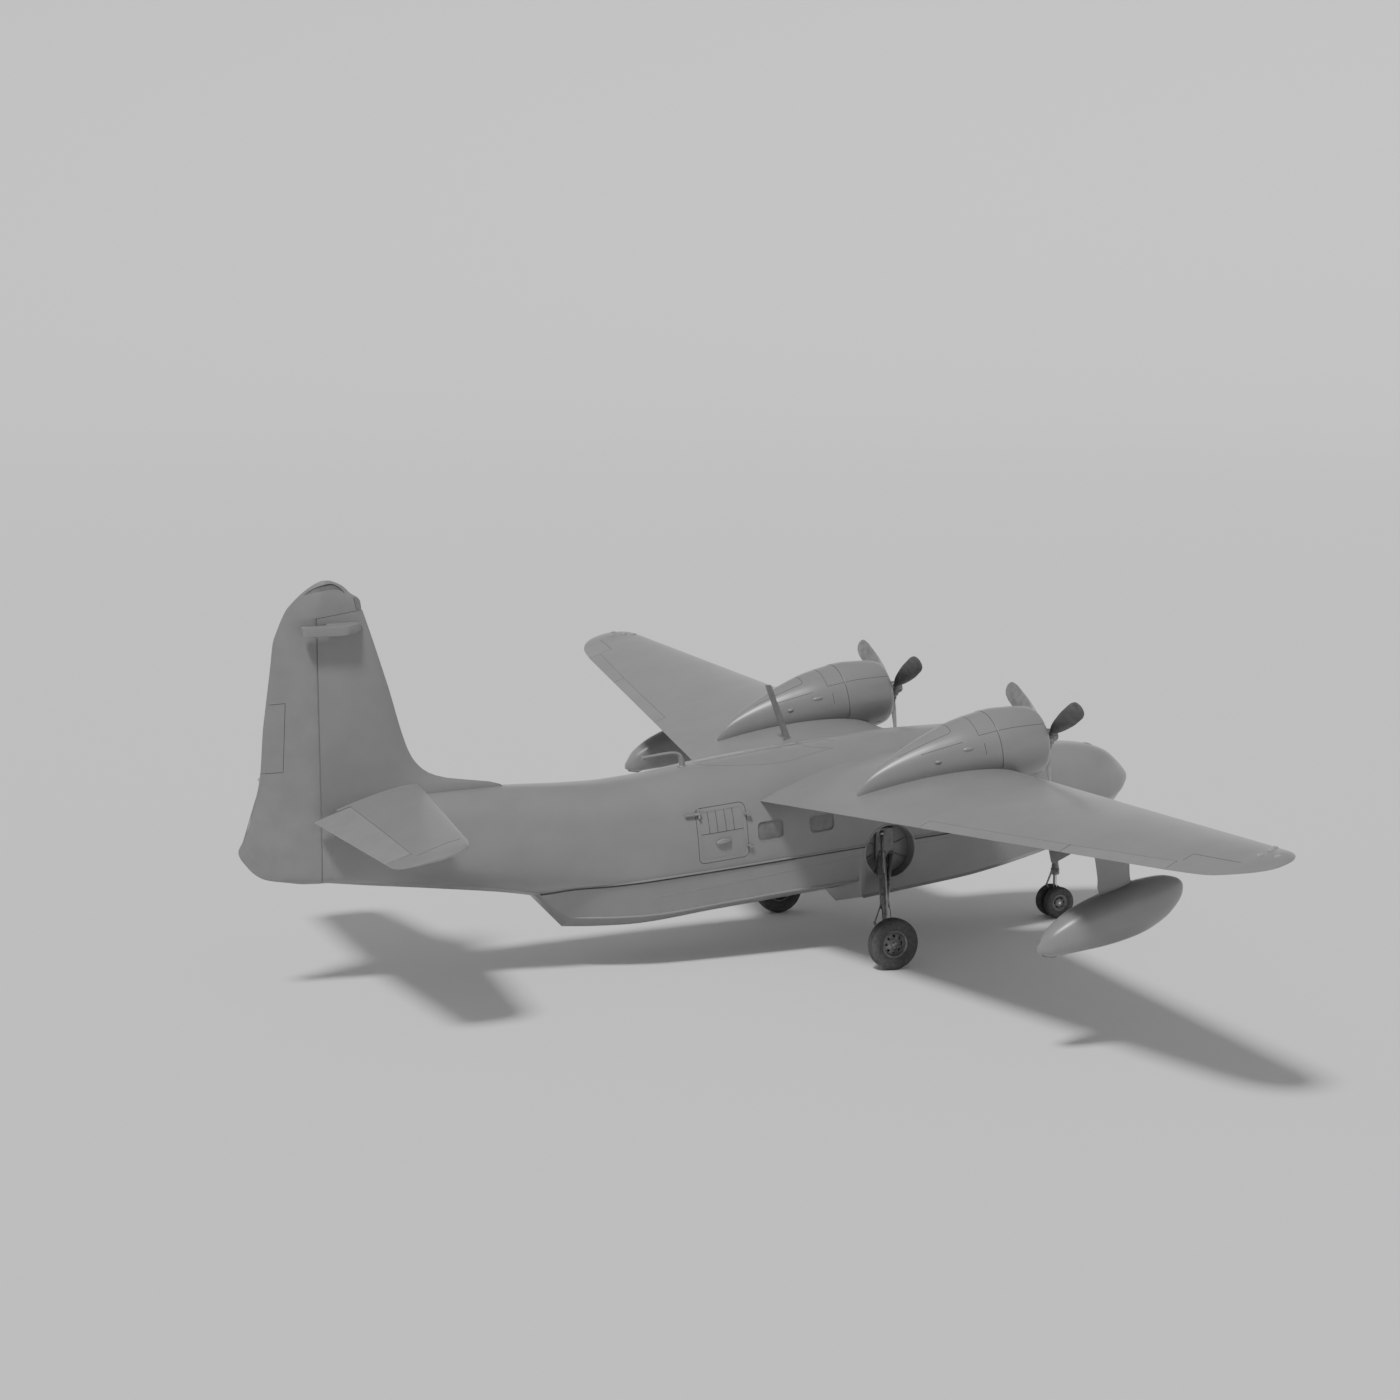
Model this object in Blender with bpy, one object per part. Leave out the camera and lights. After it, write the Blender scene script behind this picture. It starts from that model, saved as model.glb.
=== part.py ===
# Twin-engined amphibious flying boat, parked on its wheels.
# Metres, +Z up, nose towards -Y, starboard towards -X, ground at z = 0.
# Heights are above the ground. Stations are metres aft of the nose tip.

import math

import bmesh
import bpy
from mathutils import Matrix, Vector

# Driving sizes
LENGTH = 19.15
HALF_SPAN = 14.73
SEAT_GAP = 0.0003
RUN_GAP = 0.010
STARBOARD = -1
PORT = 1
SIDES = ((STARBOARD, "right"), (PORT, "left"))

# Colours as red, green, blue, then roughness and metallic
FINISHES = {
    "paint_grey": ((0.42, 0.42, 0.42), 0.45, 0.0),
    "doped_fabric": ((0.44, 0.44, 0.44), 0.60, 0.0),
    "airscrew_metal": ((0.40, 0.40, 0.40), 0.35, 0.8),
    "tyre_rubber": ((0.10, 0.10, 0.10), 0.85, 0.0),
    "bare_metal": ((0.48, 0.48, 0.48), 0.35, 0.9),
    "engine_metal": ((0.30, 0.30, 0.30), 0.50, 0.8),
    "cabin_trim": ((0.33, 0.33, 0.33), 0.80, 0.0),
}

# Hull sections: station, keel height, chine half width and height, rail half width and
# height, widest half width and its height, roof height
HULL = (
    (0.00, 2.86, 0.03, 2.87, 0.05, 2.88, 0.06, 2.91, 2.97),
    (0.10, 2.74, 0.14, 2.77, 0.20, 2.80, 0.26, 2.90, 3.12),
    (0.30, 2.52, 0.30, 2.60, 0.38, 2.68, 0.46, 2.86, 3.32),
    (0.60, 2.22, 0.48, 2.42, 0.58, 2.58, 0.66, 2.82, 3.55),
    (1.10, 1.86, 0.72, 2.16, 0.82, 2.52, 0.90, 2.77, 3.70),
    (1.80, 1.53, 0.92, 1.90, 1.01, 2.50, 1.08, 2.75, 3.77),
    (2.35, 1.36, 1.02, 1.76, 1.11, 2.48, 1.17, 2.76, 3.82),
    (3.05, 1.21, 1.09, 1.61, 1.17, 2.43, 1.23, 2.76, 4.18),
    (3.60, 1.12, 1.12, 1.50, 1.19, 2.39, 1.24, 2.77, 4.25),
    (4.40, 1.01, 1.15, 1.37, 1.20, 2.33, 1.25, 2.77, 4.28),
    (5.60, 0.90, 1.17, 1.24, 1.20, 2.25, 1.25, 2.74, 4.27),
    (6.75, 0.80, 1.18, 1.12, 1.20, 2.17, 1.25, 2.70, 4.18),
    (6.79, 1.08, 1.16, 1.46, 1.20, 2.17, 1.25, 2.70, 4.18),
    (8.00, 0.98, 1.14, 1.40, 1.19, 2.08, 1.25, 2.66, 4.08),
    (9.50, 0.86, 1.08, 1.27, 1.17, 1.97, 1.24, 2.61, 3.93),
    (11.20, 0.73, 0.98, 1.12, 1.12, 1.85, 1.18, 2.58, 3.71),
    (12.00, 0.76, 0.78, 1.10, 0.98, 1.79, 1.12, 2.58, 3.66),
    (12.72, 0.82, 0.50, 1.10, 0.74, 1.74, 1.05, 2.58, 3.67),
    (13.40, 1.53, 0.30, 1.56, 0.56, 1.66, 0.97, 2.58, 3.70),
    (14.00, 1.64, 0.26, 1.67, 0.50, 1.77, 0.90, 2.62, 3.72),
    (15.40, 1.83, 0.20, 1.86, 0.38, 1.95, 0.68, 2.68, 3.71),
    (16.60, 1.98, 0.14, 2.01, 0.26, 2.08, 0.44, 2.75, 3.66),
    (17.44, 2.10, 0.06, 2.115, 0.12, 2.17, 0.17, 2.70, 3.60),
)
ROOF_STEPS = 6
SIDE_STEPS = 2
ROOF_SQUARENESS = 0.85
BOW_END = 2.20
CABIN_END = 11.20
HULL_HALF_WIDTH = 1.25
WALL = 0.07

# Cavities: station of each end, floor height, ceiling height
COCKPIT_CAVITY = ((2.50, 2.42, 3.70), (3.05, 2.38, 4.06), (3.60, 2.36, 4.15), (5.30, 2.32, 4.17))
CABIN_CAVITY = ((7.00, 2.22, 3.36), (9.00, 2.10, 3.36), (10.90, 1.99, 3.34))
CAVITY_LEVELS = (0.0, 0.25, 0.5, 0.75, 0.93)
FLOOR_THICKNESS = 0.04
FLOOR_INSET = 0.004
# Thin-walled rear hull and the bilge below the cabin deck, which opens into it
TAIL_WALL = 0.04
TAIL_ROOM_END = 16.90
BILGE_START = 7.05
DECK_THICKNESS = 0.07

# Cabin door on the starboard side, and the cabin windows on both sides
DOOR_CENTRE = (9.80, 2.68)
DOOR_SIZE = (1.06, 1.10)
DOOR_TILT = math.radians(5.0)
DOOR_CORNER = 0.12
DOOR_HINGE_OUT = 1.285
DOOR_HINGE_HEIGHTS = (-0.34, 0.30)
DOOR_HINGE_GAP = 0.012
HINGE_KNUCKLE = 0.05
HINGE_RADIUS = 0.014
HINGE_LEAF = ((-0.006, 0.0), (-0.006, 0.085), (0.13, 0.085), (0.13, 0.04), (0.006, 0.0))
# Handle: place from the door's middle, half length, distance off the skin, radii of bar and post
HANDLE_PLACE = (-0.05, -0.22)
HANDLE_HALF = 0.11
HANDLE_STANDOFF = 0.03
HANDLE_RADIUS = 0.012
HANDLE_POST_RADIUS = 0.020
WINDOWS = ((8.78, 2.665, 0.56, 0.42), (7.67, 2.725, 0.54, 0.38))
WINDOW_TILT = math.radians(4.0)
WINDOW_CORNER = 0.10
# Distances out between which the side openings are cut
CUT_NEAR = 0.90
COCKPIT_CUT_NEAR = 0.35
CUT_FAR = 1.60

# Cockpit windows, seen from the side: station and height of each corner
SIDE_GLASS = (
    ((3.02, 3.50), (3.60, 3.46), (3.60, 3.93), (3.10, 3.93)),
    ((3.68, 3.46), (4.34, 3.42), (4.34, 3.93), (3.68, 3.93)),
)
# Windscreen panes, seen from ahead: half width and height of each corner
FRONT_GLASS = ((0.04, 3.88), (0.04, 4.12), (0.50, 4.08), (0.72, 3.88))

# Wing: root and tip leading and trailing edges as half span, station, height, thickness ratio
WING_STATIONS = (
    (0.50, 4.39, 3.66, 9.07, 3.20, 0.165),
    (13.00, 5.350821, 4.378284, 7.111045, 4.086194, 0.132351),
    (13.90, 5.43, 4.43, 6.90, 4.16, 0.128),
    (14.30, 5.52, 4.46, 6.72, 4.235, 0.120),
    (14.58, 5.72, 4.45, 6.50, 4.30, 0.105),
    (14.70, 5.93, 4.42, 6.33, 4.34, 0.090),
    (HALF_SPAN, 6.06, 4.39, 6.22, 4.36, 0.080),
)
CHORD_STEPS = (0.0, 0.008, 0.03, 0.08, 0.16, 0.28, 0.42, 0.58, 0.74, 0.88, 1.0)
EDGE_HALF_THICKNESS = 0.004
WING_CAMBER = 0.02

# Controls in the wing: name, end positions along the half span, nose line stations
FLAP = ("flap", 6.29, 10.295, 7.88, 7.27)
AILERON = ("aileron", 10.285, 12.95, 7.270, 6.82)
NOSE_RADIUS = 0.10
BOSS_RADIUS = 0.020
BOSS_DEPTH = 0.03
BAY_FREE_END = 0.03
BAY_REACH = 1.4
BAY_HALF_HEIGHT = 0.5
AXIS_LIFT = 0.006

# Tailplane: half span, leading edge station and height, trailing edge station and height, ratio
TAIL_STATIONS = (
    (0.05, 15.60, 3.86, 17.79, 3.36, 0.12),
    (4.20, 16.05, 3.62, 17.58, 3.31, 0.10),
    (4.52, 16.22, 3.58, 17.56, 3.31, 0.09),
    (4.68, 16.50, 3.52, 17.50, 3.32, 0.08),
    (4.725, 16.80, 3.46, 17.30, 3.36, 0.06),
)
ELEVATOR = ("elevator", 0.34, 4.22, 17.00, 17.08)

# Fin and rudder: height, leading edge station, half thickness
FIN_LEVELS = (
    (3.30, 13.60, 0.17),
    (3.77, 13.97, 0.17),
    (3.99, 15.16, 0.17),
    (4.15, 15.50, 0.165),
    (4.41, 15.73, 0.16),
    (4.73, 15.87, 0.155),
    (5.87, 16.22, 0.13),
    (7.25, 16.66, 0.10),
)
RUDDER_AXIS = 17.62
RUDDER_EDGE = 0.006
HORN_SLOPE = 0.13
HORN_BASE = 7.15
# Rudder: height, trailing edge station
RUDDER_LEVELS = (
    (2.115, 17.80),
    (2.16, 18.15),
    (2.28, 18.68),
    (2.54, 18.99),
    (2.84, 19.15),
    (3.69, 18.85),
    (4.28, 18.67),
    (5.60, 18.49),
    (6.94, 18.30),
    (7.22, 18.18),
)
# Horn: height at the axis, leading and trailing edge stations, half thickness
HORN_LEVELS = (
    (7.17, 16.68, 18.20, 0.100),
    (7.40, 16.71, 18.07, 0.092),
    (7.60, 16.84, 17.88, 0.080),
    (7.76, 17.04, 17.68, 0.060),
    (7.84, 17.20, 17.54, 0.040),
    (7.87, 17.30, 17.43, 0.020),
)
RUDDER_LUGS = (3.2, 4.9, 6.5)
LUG_HALF_HEIGHT = 0.03
LUG_RADIUS = 0.04
LUG_ROOT = 0.08
NOTCH_REACH = 0.4
RUDDER_RINGS = 20
# Room for the rudder between the tailplanes: half width, stations, heights
RUDDER_ROOM = (0.34, 17.3, 18.2, 2.9, 4.2)
# Fairing on each side of the fin: station, inner and outer edge, half height. Its rear stands
# clear of the rudder's swing.
PAD_HEIGHT = 7.02
PAD_STATIONS = (
    (16.72, 0.04, 0.12, 0.02),
    (16.78, 0.04, 0.26, 0.07),
    (16.90, 0.04, 0.36, 0.095),
    (17.10, 0.04, 0.40, 0.095),
    (17.34, 0.04, 0.40, 0.095),
    (17.46, 0.225, 0.40, 0.095),
    (17.70, 0.225, 0.40, 0.092),
    (17.84, 0.225, 0.37, 0.075),
    (17.92, 0.25, 0.33, 0.035),
)

# Power: place of the cowl lip and the tilt of the shaft
ENGINE_OUT = 3.35
COWL_LIP = (3.93, 4.50)
SHAFT_TILT = math.radians(6.0)
COWL_LENGTH = 1.28
COWL_PROFILE = (
    (0.000, 0.565),
    (0.020, 0.615),
    (0.100, 0.670),
    (0.280, 0.712),
    (0.650, 0.755),
    (1.000, 0.778),
    (COWL_LENGTH, 0.765),
    (COWL_LENGTH, 0.725),
    (0.650, 0.720),
    (0.280, 0.670),
    (0.100, 0.600),
    (0.020, 0.545),
)
# The wing's nose passes through the back of the cowl, which is open below it: half width,
# stations and heights of the opening
COWL_SLOT = (0.95, 4.80, 6.00, 3.20, 3.70)
# Nacelle: distance aft of the lip, lift of its middle, half width, rise, drop
NACELLE_SIDES = 32
NACELLE_RINGS = 12
ENGINE_MOUNT = ((0.9503, 0.00, 0.28, 0.28, 0.28), (COWL_LENGTH + SEAT_GAP, 0.00, 0.32, 0.32, 0.32))
NACELLE = (
    (COWL_LENGTH + SEAT_GAP, 0.00, 0.763, 0.763, 0.66),
    (1.82, -0.01, 0.68, 0.70, 0.60),
    (2.40, -0.06, 0.53, 0.60, 0.50),
    (3.00, -0.14, 0.35, 0.46, 0.40),
    (3.60, -0.25, 0.17, 0.28, 0.28),
    (3.90, -0.34, 0.08, 0.16, 0.18),
    (4.06, -0.42, 0.02, 0.06, 0.10),
)
CRANKCASE = ((0.10, 0.09), (0.14, 0.16), (0.30, 0.22), (0.42, 0.31), (0.72, 0.32), (0.95, 0.28))
CYLINDERS = 9
CYLINDER_RADIUS = 0.085
CYLINDER_REACH = (0.25, 0.650)
CYLINDER_PLACE = 0.50
COWL_SIDES = 32
ROUND_SIDES = 20

# Propeller: blade radius, chord, thickness, angle from the plane of the disc
PROPELLER_RADIUS = 3.35 / 2
BLADES = 3
BLADE_PLACE = -0.12
BLADE_SECTIONS = (
    (0.10, 0.10, 0.100, 60.0),
    (0.28, 0.12, 0.100, 58.0),
    (0.45, 0.24, 0.070, 50.0),
    (0.75, 0.33, 0.048, 40.0),
    (1.10, 0.38, 0.034, 31.0),
    (1.40, 0.38, 0.026, 25.0),
    (1.58, 0.31, 0.020, 22.0),
    (1.65, 0.19, 0.014, 21.0),
    (PROPELLER_RADIUS, 0.06, 0.008, 21.0),
)
BLADE_SIDES = 12
HUB_PROFILE = (
    (-0.36, 0.03), (-0.35, 0.07), (-0.30, 0.10), (-0.22, 0.115), (-0.20, 0.17), (-0.03, 0.17),
    (-0.02, 0.09), (0.10 - SEAT_GAP, 0.08),
)

# Tip floats: station, keel, widest and deck heights, half width
FLOAT_OUT = 9.64
FLOAT_STATIONS = (
    (4.66, 2.86, 2.92, 2.97, 0.05),
    (4.80, 2.60, 2.86, 3.09, 0.18),
    (5.10, 2.36, 2.78, 3.14, 0.29),
    (5.60, 2.14, 2.70, 3.09, 0.37),
    (6.20, 2.01, 2.58, 2.92, 0.38),
    (6.80, 1.94, 2.40, 2.70, 0.32),
    (7.30, 1.90, 2.18, 2.38, 0.20),
    (7.52, 1.96, 2.04, 2.09, 0.05),
)
FLOAT_RINGS = (
    4.66, 4.70, 4.80, 4.95, 5.10, 5.35, 5.60, 5.90, 6.20, 6.50, 6.80, 7.05, 7.30, 7.44, 7.52,
)
FLOAT_SIDES = 20
# How full the float is below and above its widest line: powers of the width and of the height
FLOAT_BELOW = (0.62, 0.95)
FLOAT_ABOVE = (1.00, 0.88)
# Float strut: station of both edges and half thickness at the float and at the wing
STRUT_FOOT = (5.72, 6.42, 0.055)
STRUT_HEAD = (5.66, 6.50, 0.075)
STRUT_HEIGHTS = (2.50, 4.30)
STRUT_TRIM = (2.62, 4.02)
STRUT_SIDES = 16

# Main gear
TRACK = 5.38
MAIN_STATION = 6.80
LEG_STATION = 6.20
STRUT_MEETING = 0.79
MAIN_TYRE = (0.51, 0.155, 0.27)
AXLE_RADIUS = 0.05
RIM_SHARE = 0.62
HUB_SHARE = 0.75
AXLE_PROUD = 0.012
LEG_RADIUS = 0.085
LEG_FOOT_HEIGHT = 1.90
LEG_STANDOFF = 0.07
SHOCK_RADIUS = 0.062
SHOCK_HEIGHT = 2.34
DRAG_RADIUS = 0.045
DRAG_PLACE = (0.21, 1.93)
COLLAR_RADIUS = 0.075
# Plate on the wall of the well: reach ahead and aft of the leg, heights, thickness
LEG_PLATE = (0.27, 0.13, 1.79, 2.45, 0.09)
# Knuckle at the foot of the leg: inset from the tyre, half length, drop and rise from the axle
KNUCKLE_INSET = 0.13
KNUCKLE = (0.10, 0.12, 0.14)
WELL_CENTRE = (6.12, 2.02)
WELL_RADIUS = 0.54
WELL_DEPTH = 0.36

# Nose gear
NOSE_STATION = 1.62
NOSE_TYRE = (0.335, 0.095, 0.17)
NOSE_WHEEL_OUT = 0.165
MAIN_WHEEL_SIDES = 28
NOSE_WHEEL_SIDES = 20
BORE_GAP = 0.0008
NOSE_LEG_RADIUS = 0.075
NOSE_BRACE_RADIUS = 0.035
NOSE_BRACE_LOW = 1.30
NOSE_BRACE_HIGH = 1.80
NOSE_AXLE_RADIUS = 0.032
NOSE_WELL = (1.22, 2.02, 0.34, 1.98)
STEER_TOP = 1.05
# Turning collar of the fork: height and radius
STEER_COLLAR = (0.10, 0.095)
FORK_RADIUS = 0.055
FORK_OVERLAP = 0.02
SLEEVE_RADIUS = 0.05
# Nose doors: hinge line outside the well and below the skin, and inset from its ends
DOOR_OFFSET = 0.004
DOOR_INSET = 0.02
# Nose doors, each in section as the distance out from the hinge and the rise from the keel
NOSE_DOOR_SECTION = ((0.0, 0.0), (0.03, 0.006), (0.16, -0.34), (0.135, -0.345))

# Fittings
DOME_PLACE = (0.90, 3.60)
DOME_PROFILE = ((-0.08, 0.14), (0.03, 0.14), (0.06, 0.11), (0.075, 0.05))
VENT_PATH = (
    (10.14, 3.70), (10.16, 3.92), (10.18, 4.02), (10.24, 4.09), (10.34, 4.115), (10.55, 4.10),
    (11.01, 4.05),
)
VENT_RADIUS = 0.045
# Mast: distance out, station, height, chord and thickness at the foot and at the top
MAST = ((1.90, 6.95, 3.80, 0.13, 0.05), (1.90, 7.42, 5.03, 0.115, 0.045))
MAST_SECTION = (
    (0.6, -1.0), (1.0, -0.8), (1.0, 0.8), (0.6, 1.0), (-0.6, 1.0), (-1.0, 0.8), (-1.0, -0.8), (-0.6, -1.0),
)

TAU = 2.0 * math.pi


def clear_scene():
    for item in list(bpy.data.objects):
        bpy.data.objects.remove(item, do_unlink=True)


def finish(name):
    colour, roughness, metallic = FINISHES[name]
    material = bpy.data.materials.new(name)
    material.use_nodes = True
    shader = material.node_tree.nodes["Principled BSDF"]
    shader.inputs["Base Color"].default_value = (*colour, 1.0)
    shader.inputs["Roughness"].default_value = roughness
    shader.inputs["Metallic"].default_value = metallic
    return material


def place(side, out, station, height):
    """Point from the distance out from the middle, the station and the height."""
    return Vector((side * out, station - LENGTH / 2.0, height))


def is_flat(face):
    start = face.verts[0].co
    return all(abs((vertex.co - start).dot(face.normal)) < 1e-6 for vertex in face.verts)


def add_object(name, mesh_data, finish_name, origin=None):
    bmesh.ops.recalc_face_normals(mesh_data, faces=mesh_data.faces)
    bmesh.ops.triangulate(mesh_data, faces=[face for face in mesh_data.faces if not is_flat(face)])
    if origin is not None:
        bmesh.ops.translate(mesh_data, vec=-origin, verts=mesh_data.verts)
    mesh = bpy.data.meshes.new(name)
    mesh_data.to_mesh(mesh)
    mesh_data.free()
    thing = bpy.data.objects.new(name, mesh)
    if origin is not None:
        thing.location = origin
    bpy.context.scene.collection.objects.link(thing)
    mesh.materials.append(finish(finish_name))
    mesh.shade_smooth()
    mesh.set_sharp_from_angle(angle=math.radians(35.0))
    return thing


def add_cutter(name, mesh_data):
    thing = add_object(name, mesh_data, "paint_grey")
    thing.hide_render = True
    thing.display_type = "WIRE"
    return thing


def boolean(thing, other, operation):
    step = thing.modifiers.new(operation.lower() + "_" + other.name, "BOOLEAN")
    step.operation = operation
    step.object = other
    return thing


def cut(thing, *cutters):
    for cutter in cutters:
        boolean(thing, cutter, "DIFFERENCE")
    return thing


def join(thing, *others):
    for other in others:
        boolean(thing, other, "UNION")
    return thing


def keep(thing, cutter):
    return boolean(thing, cutter, "INTERSECT")


def loft(rings, closed=False):
    """Skin over rings with equal numbers of points, with flat ends unless closed."""
    mesh = bmesh.new()
    loops = [[mesh.verts.new(point) for point in ring] for ring in rings]
    count = len(loops[0])
    pairs = list(zip(loops, loops[1:]))
    if closed:
        pairs.append((loops[-1], loops[0]))
    for first, second in pairs:
        for index in range(count):
            following = (index + 1) % count
            mesh.faces.new((first[index], first[following], second[following], second[index]))
    if not closed:
        mesh.faces.new(loops[0])
        mesh.faces.new(list(reversed(loops[-1])))
    return mesh


def frame_at(origin, direction, up=Vector((0.0, 0.0, 1.0))):
    """Matrix with its Z along the direction and its Y near the given up."""
    along = direction.normalized()
    across = up.cross(along).normalized()
    over = along.cross(across)
    basis = Matrix((across, over, along)).transposed().to_4x4()
    return Matrix.Translation(origin) @ basis


def turned(profile, frame, segments, closed=False):
    """Solid turned about the frame's Z axis from (along, radius) points."""
    rings = []
    for along, radius in profile:
        ring = []
        for index in range(segments):
            angle = TAU * index / segments
            ring.append(frame @ Vector((radius * math.cos(angle), radius * math.sin(angle), along)))
        rings.append(ring)
    return loft(rings, closed)


def rod(start, end, radius, segments=16):
    length = (end - start).length
    up = Vector((0.0, 1.0, 0.0)) if abs((end - start).normalized().z) > 0.9 else Vector((0.0, 0.0, 1.0))
    return turned(((0.0, radius), (length, radius)), frame_at(start, end - start, up), segments)


def pipe(path, radius, segments=12):
    """Round pipe along a list of points."""
    rings = []
    for index, point in enumerate(path):
        before = path[max(index - 1, 0)]
        after = path[min(index + 1, len(path) - 1)]
        frame = frame_at(point, after - before, Vector((1.0, 0.0, 0.0)))
        ring = []
        for step in range(segments):
            angle = TAU * step / segments
            ring.append(frame @ Vector((radius * math.cos(angle), radius * math.sin(angle), 0.0)))
        rings.append(ring)
    return loft(rings)


def prism(outline, frame, near, far):
    """Outline of (across, up) points in the frame, extruded along its Z."""
    rings = [[frame @ Vector((x, y, along)) for x, y in outline] for along in (near, far)]
    return loft(rings)


def box(low, high):
    outline = ((low[0], low[1]), (high[0], low[1]), (high[0], high[1]), (low[0], high[1]))
    return prism(outline, Matrix.Identity(4), low[2], high[2])


def rounded(corners, radius, steps=4):
    """Outline through the corners of a convex shape, each rounded with an arc."""
    outline = []
    count = len(corners)
    for index in range(count):
        corner = Vector(corners[index])
        before = (Vector(corners[index - 1]) - corner).normalized()
        after = (Vector(corners[(index + 1) % count]) - corner).normalized()
        half = before.angle(after) / 2.0
        centre = corner + (before + after).normalized() * radius / math.sin(half)
        start = corner + before * radius / math.tan(half) - centre
        end = corner + after * radius / math.tan(half) - centre
        first = math.atan2(start.y, start.x)
        sweep = (math.atan2(end.y, end.x) - first + math.pi) % TAU - math.pi
        for step in range(steps + 1):
            angle = first + sweep * step / steps
            outline.append((centre.x + radius * math.cos(angle), centre.y + radius * math.sin(angle)))
    return outline


def turned_rectangle(centre, size, tilt, shrink=0.0):
    corners = []
    for x, y in ((-0.5, -0.5), (0.5, -0.5), (0.5, 0.5), (-0.5, 0.5)):
        across = x * (size[0] - 2.0 * shrink)
        over = y * (size[1] - 2.0 * shrink)
        corners.append((
            centre[0] + across * math.cos(tilt) + over * math.sin(tilt),
            centre[1] - across * math.sin(tilt) + over * math.cos(tilt),
        ))
    return corners


def side_prism(outline, side, near, far):
    """Outline of (station, height) points, extruded outwards on one side."""
    rings = [[place(side, out, station, height) for station, height in outline] for out in (near, far)]
    return loft(rings)


def between(table, key):
    """Row of a table at a station, in straight lines between its rows."""
    for first, second in zip(table, table[1:]):
        if key <= second[0]:
            break
    share = (key - first[0]) / (second[0] - first[0])
    return tuple(a + (b - a) * share for a, b in zip(first, second))


def eased(table, key):
    """Row of a table at a key, on a smooth curve through its rows."""
    index = 0
    while index < len(table) - 2 and key > table[index + 1][0]:
        index += 1
    width = table[index + 1][0] - table[index][0]
    share = (key - table[index][0]) / width
    result = [key]
    for column in range(1, len(table[0])):
        steps = [(b[column] - a[column]) / (b[0] - a[0]) for a, b in zip(table, table[1:])]
        slopes = [steps[0]]
        slopes += [0.0 if s * t <= 0.0 else 2.0 * s * t / (s + t) for s, t in zip(steps, steps[1:])]
        slopes.append(steps[-1])
        low, high = table[index][column], table[index + 1][column]
        cube, square = share**3, share**2
        rise = slopes[index] * (cube - 2.0 * square + share) + slopes[index + 1] * (cube - square)
        level = low * (2.0 * cube - 3.0 * square + 1.0) + high * (3.0 * square - 2.0 * cube)
        result.append(level + rise * width)
    return result


def grown_copy(name, mesh_data):
    """Cutter that stands the seat gap outside a shape."""
    cutter = add_cutter(name, mesh_data)
    for vertex in cutter.data.vertices:
        vertex.co += vertex.normal * SEAT_GAP
    return cutter


def hull_half(row, grow=0.0):
    """Half section from keel to roof as (half width, height) points, grown if asked."""
    _, keel, chine_w, chine_z, rail_w, rail_z, wide_w, wide_z, roof = row
    points = [(0.0, keel), (chine_w, chine_z), (rail_w, rail_z)]
    for step in range(1, SIDE_STEPS + 1):
        angle = step / SIDE_STEPS * math.pi / 2.0
        out = rail_w + (wide_w - rail_w) * math.sin(angle)
        points.append((out, wide_z - (wide_z - rail_z) * math.cos(angle)))
    for step in range(1, ROOF_STEPS + 1):
        angle = step / ROOF_STEPS * math.pi / 2.0
        reach = max(math.cos(angle), 0.0) ** ROOF_SQUARENESS if step < ROOF_STEPS else 0.0
        points.append((wide_w * reach, wide_z + (roof - wide_z) * math.sin(angle) ** ROOF_SQUARENESS))
    if not grow:
        return points
    return [(w + (grow if w else 0.0), z + grow * (1.0 if z > wide_z else -1.0)) for w, z in points]


def hull_ring(station, grow=0.0):
    half = hull_half(between(HULL, station), grow)
    starboard = [place(STARBOARD, w, station, z) for w, z in half]
    port = [place(PORT, w, station, z) for w, z in reversed(half[1:-1])]
    return starboard + port


def hull_body(first, last, grow=0.0):
    """Part of the hull between two stations."""
    stations = [first] + [row[0] for row in HULL if first < row[0] < last] + [last]
    return loft([hull_ring(station, grow) for station in stations])


def half_width_at(station, height):
    half = hull_half(between(HULL, station))
    for (w1, z1), (w2, z2) in zip(half, half[1:]):
        if z1 <= height <= z2:
            return w1 + (w2 - w1) * (height - z1) / (z2 - z1)
    raise ValueError("height outside the hull")


def cavity(table, wall=WALL):
    """Room inside the hull, wall in from the skin."""
    rings = []
    for station, floor, ceiling in table:
        side = []
        for level in CAVITY_LEVELS:
            height = floor + (ceiling - floor) * level
            side.append((half_width_at(station, height) - wall, height))
        top = min(half_width_at(station, ceiling) - wall, side[-1][0] - 0.06)
        side.append((max(top, 0.30), ceiling))
        starboard = [place(STARBOARD, w, station, z) for w, z in side]
        port = [place(PORT, w, station, z) for w, z in reversed(side)]
        rings.append(starboard + port)
    return loft(rings)


def aerofoil(side, row, camber=WING_CAMBER):
    """Ring of a wing section from the row's edges, upper side first."""
    out, lead_a, lead_z, trail_a, trail_z, ratio = row
    lead = Vector((lead_a, lead_z))
    chord = Vector((trail_a, trail_z)) - lead
    length = chord.length
    along = chord / length
    over = Vector((-along.y, along.x))
    upper = []
    lower = []
    for x in CHORD_STEPS:
        shape = 0.2969 * math.sqrt(x) - 0.1260 * x - 0.3516 * x**2 + 0.2843 * x**3 - 0.1036 * x**4
        half = 5.0 * ratio * shape * length + EDGE_HALF_THICKNESS * x
        middle = camber * length * 4.0 * x * (1.0 - x)
        upper.append(lead + along * x * length + over * (middle + half))
        lower.append(lead + along * x * length + over * (middle - half))
    ring = list(reversed(upper)) + lower[1:]
    return [place(side, out, point.x, point.y) for point in ring]


def surface_body(side, table, camber=WING_CAMBER):
    return loft([aerofoil(side, row, camber) for row in table])


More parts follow.
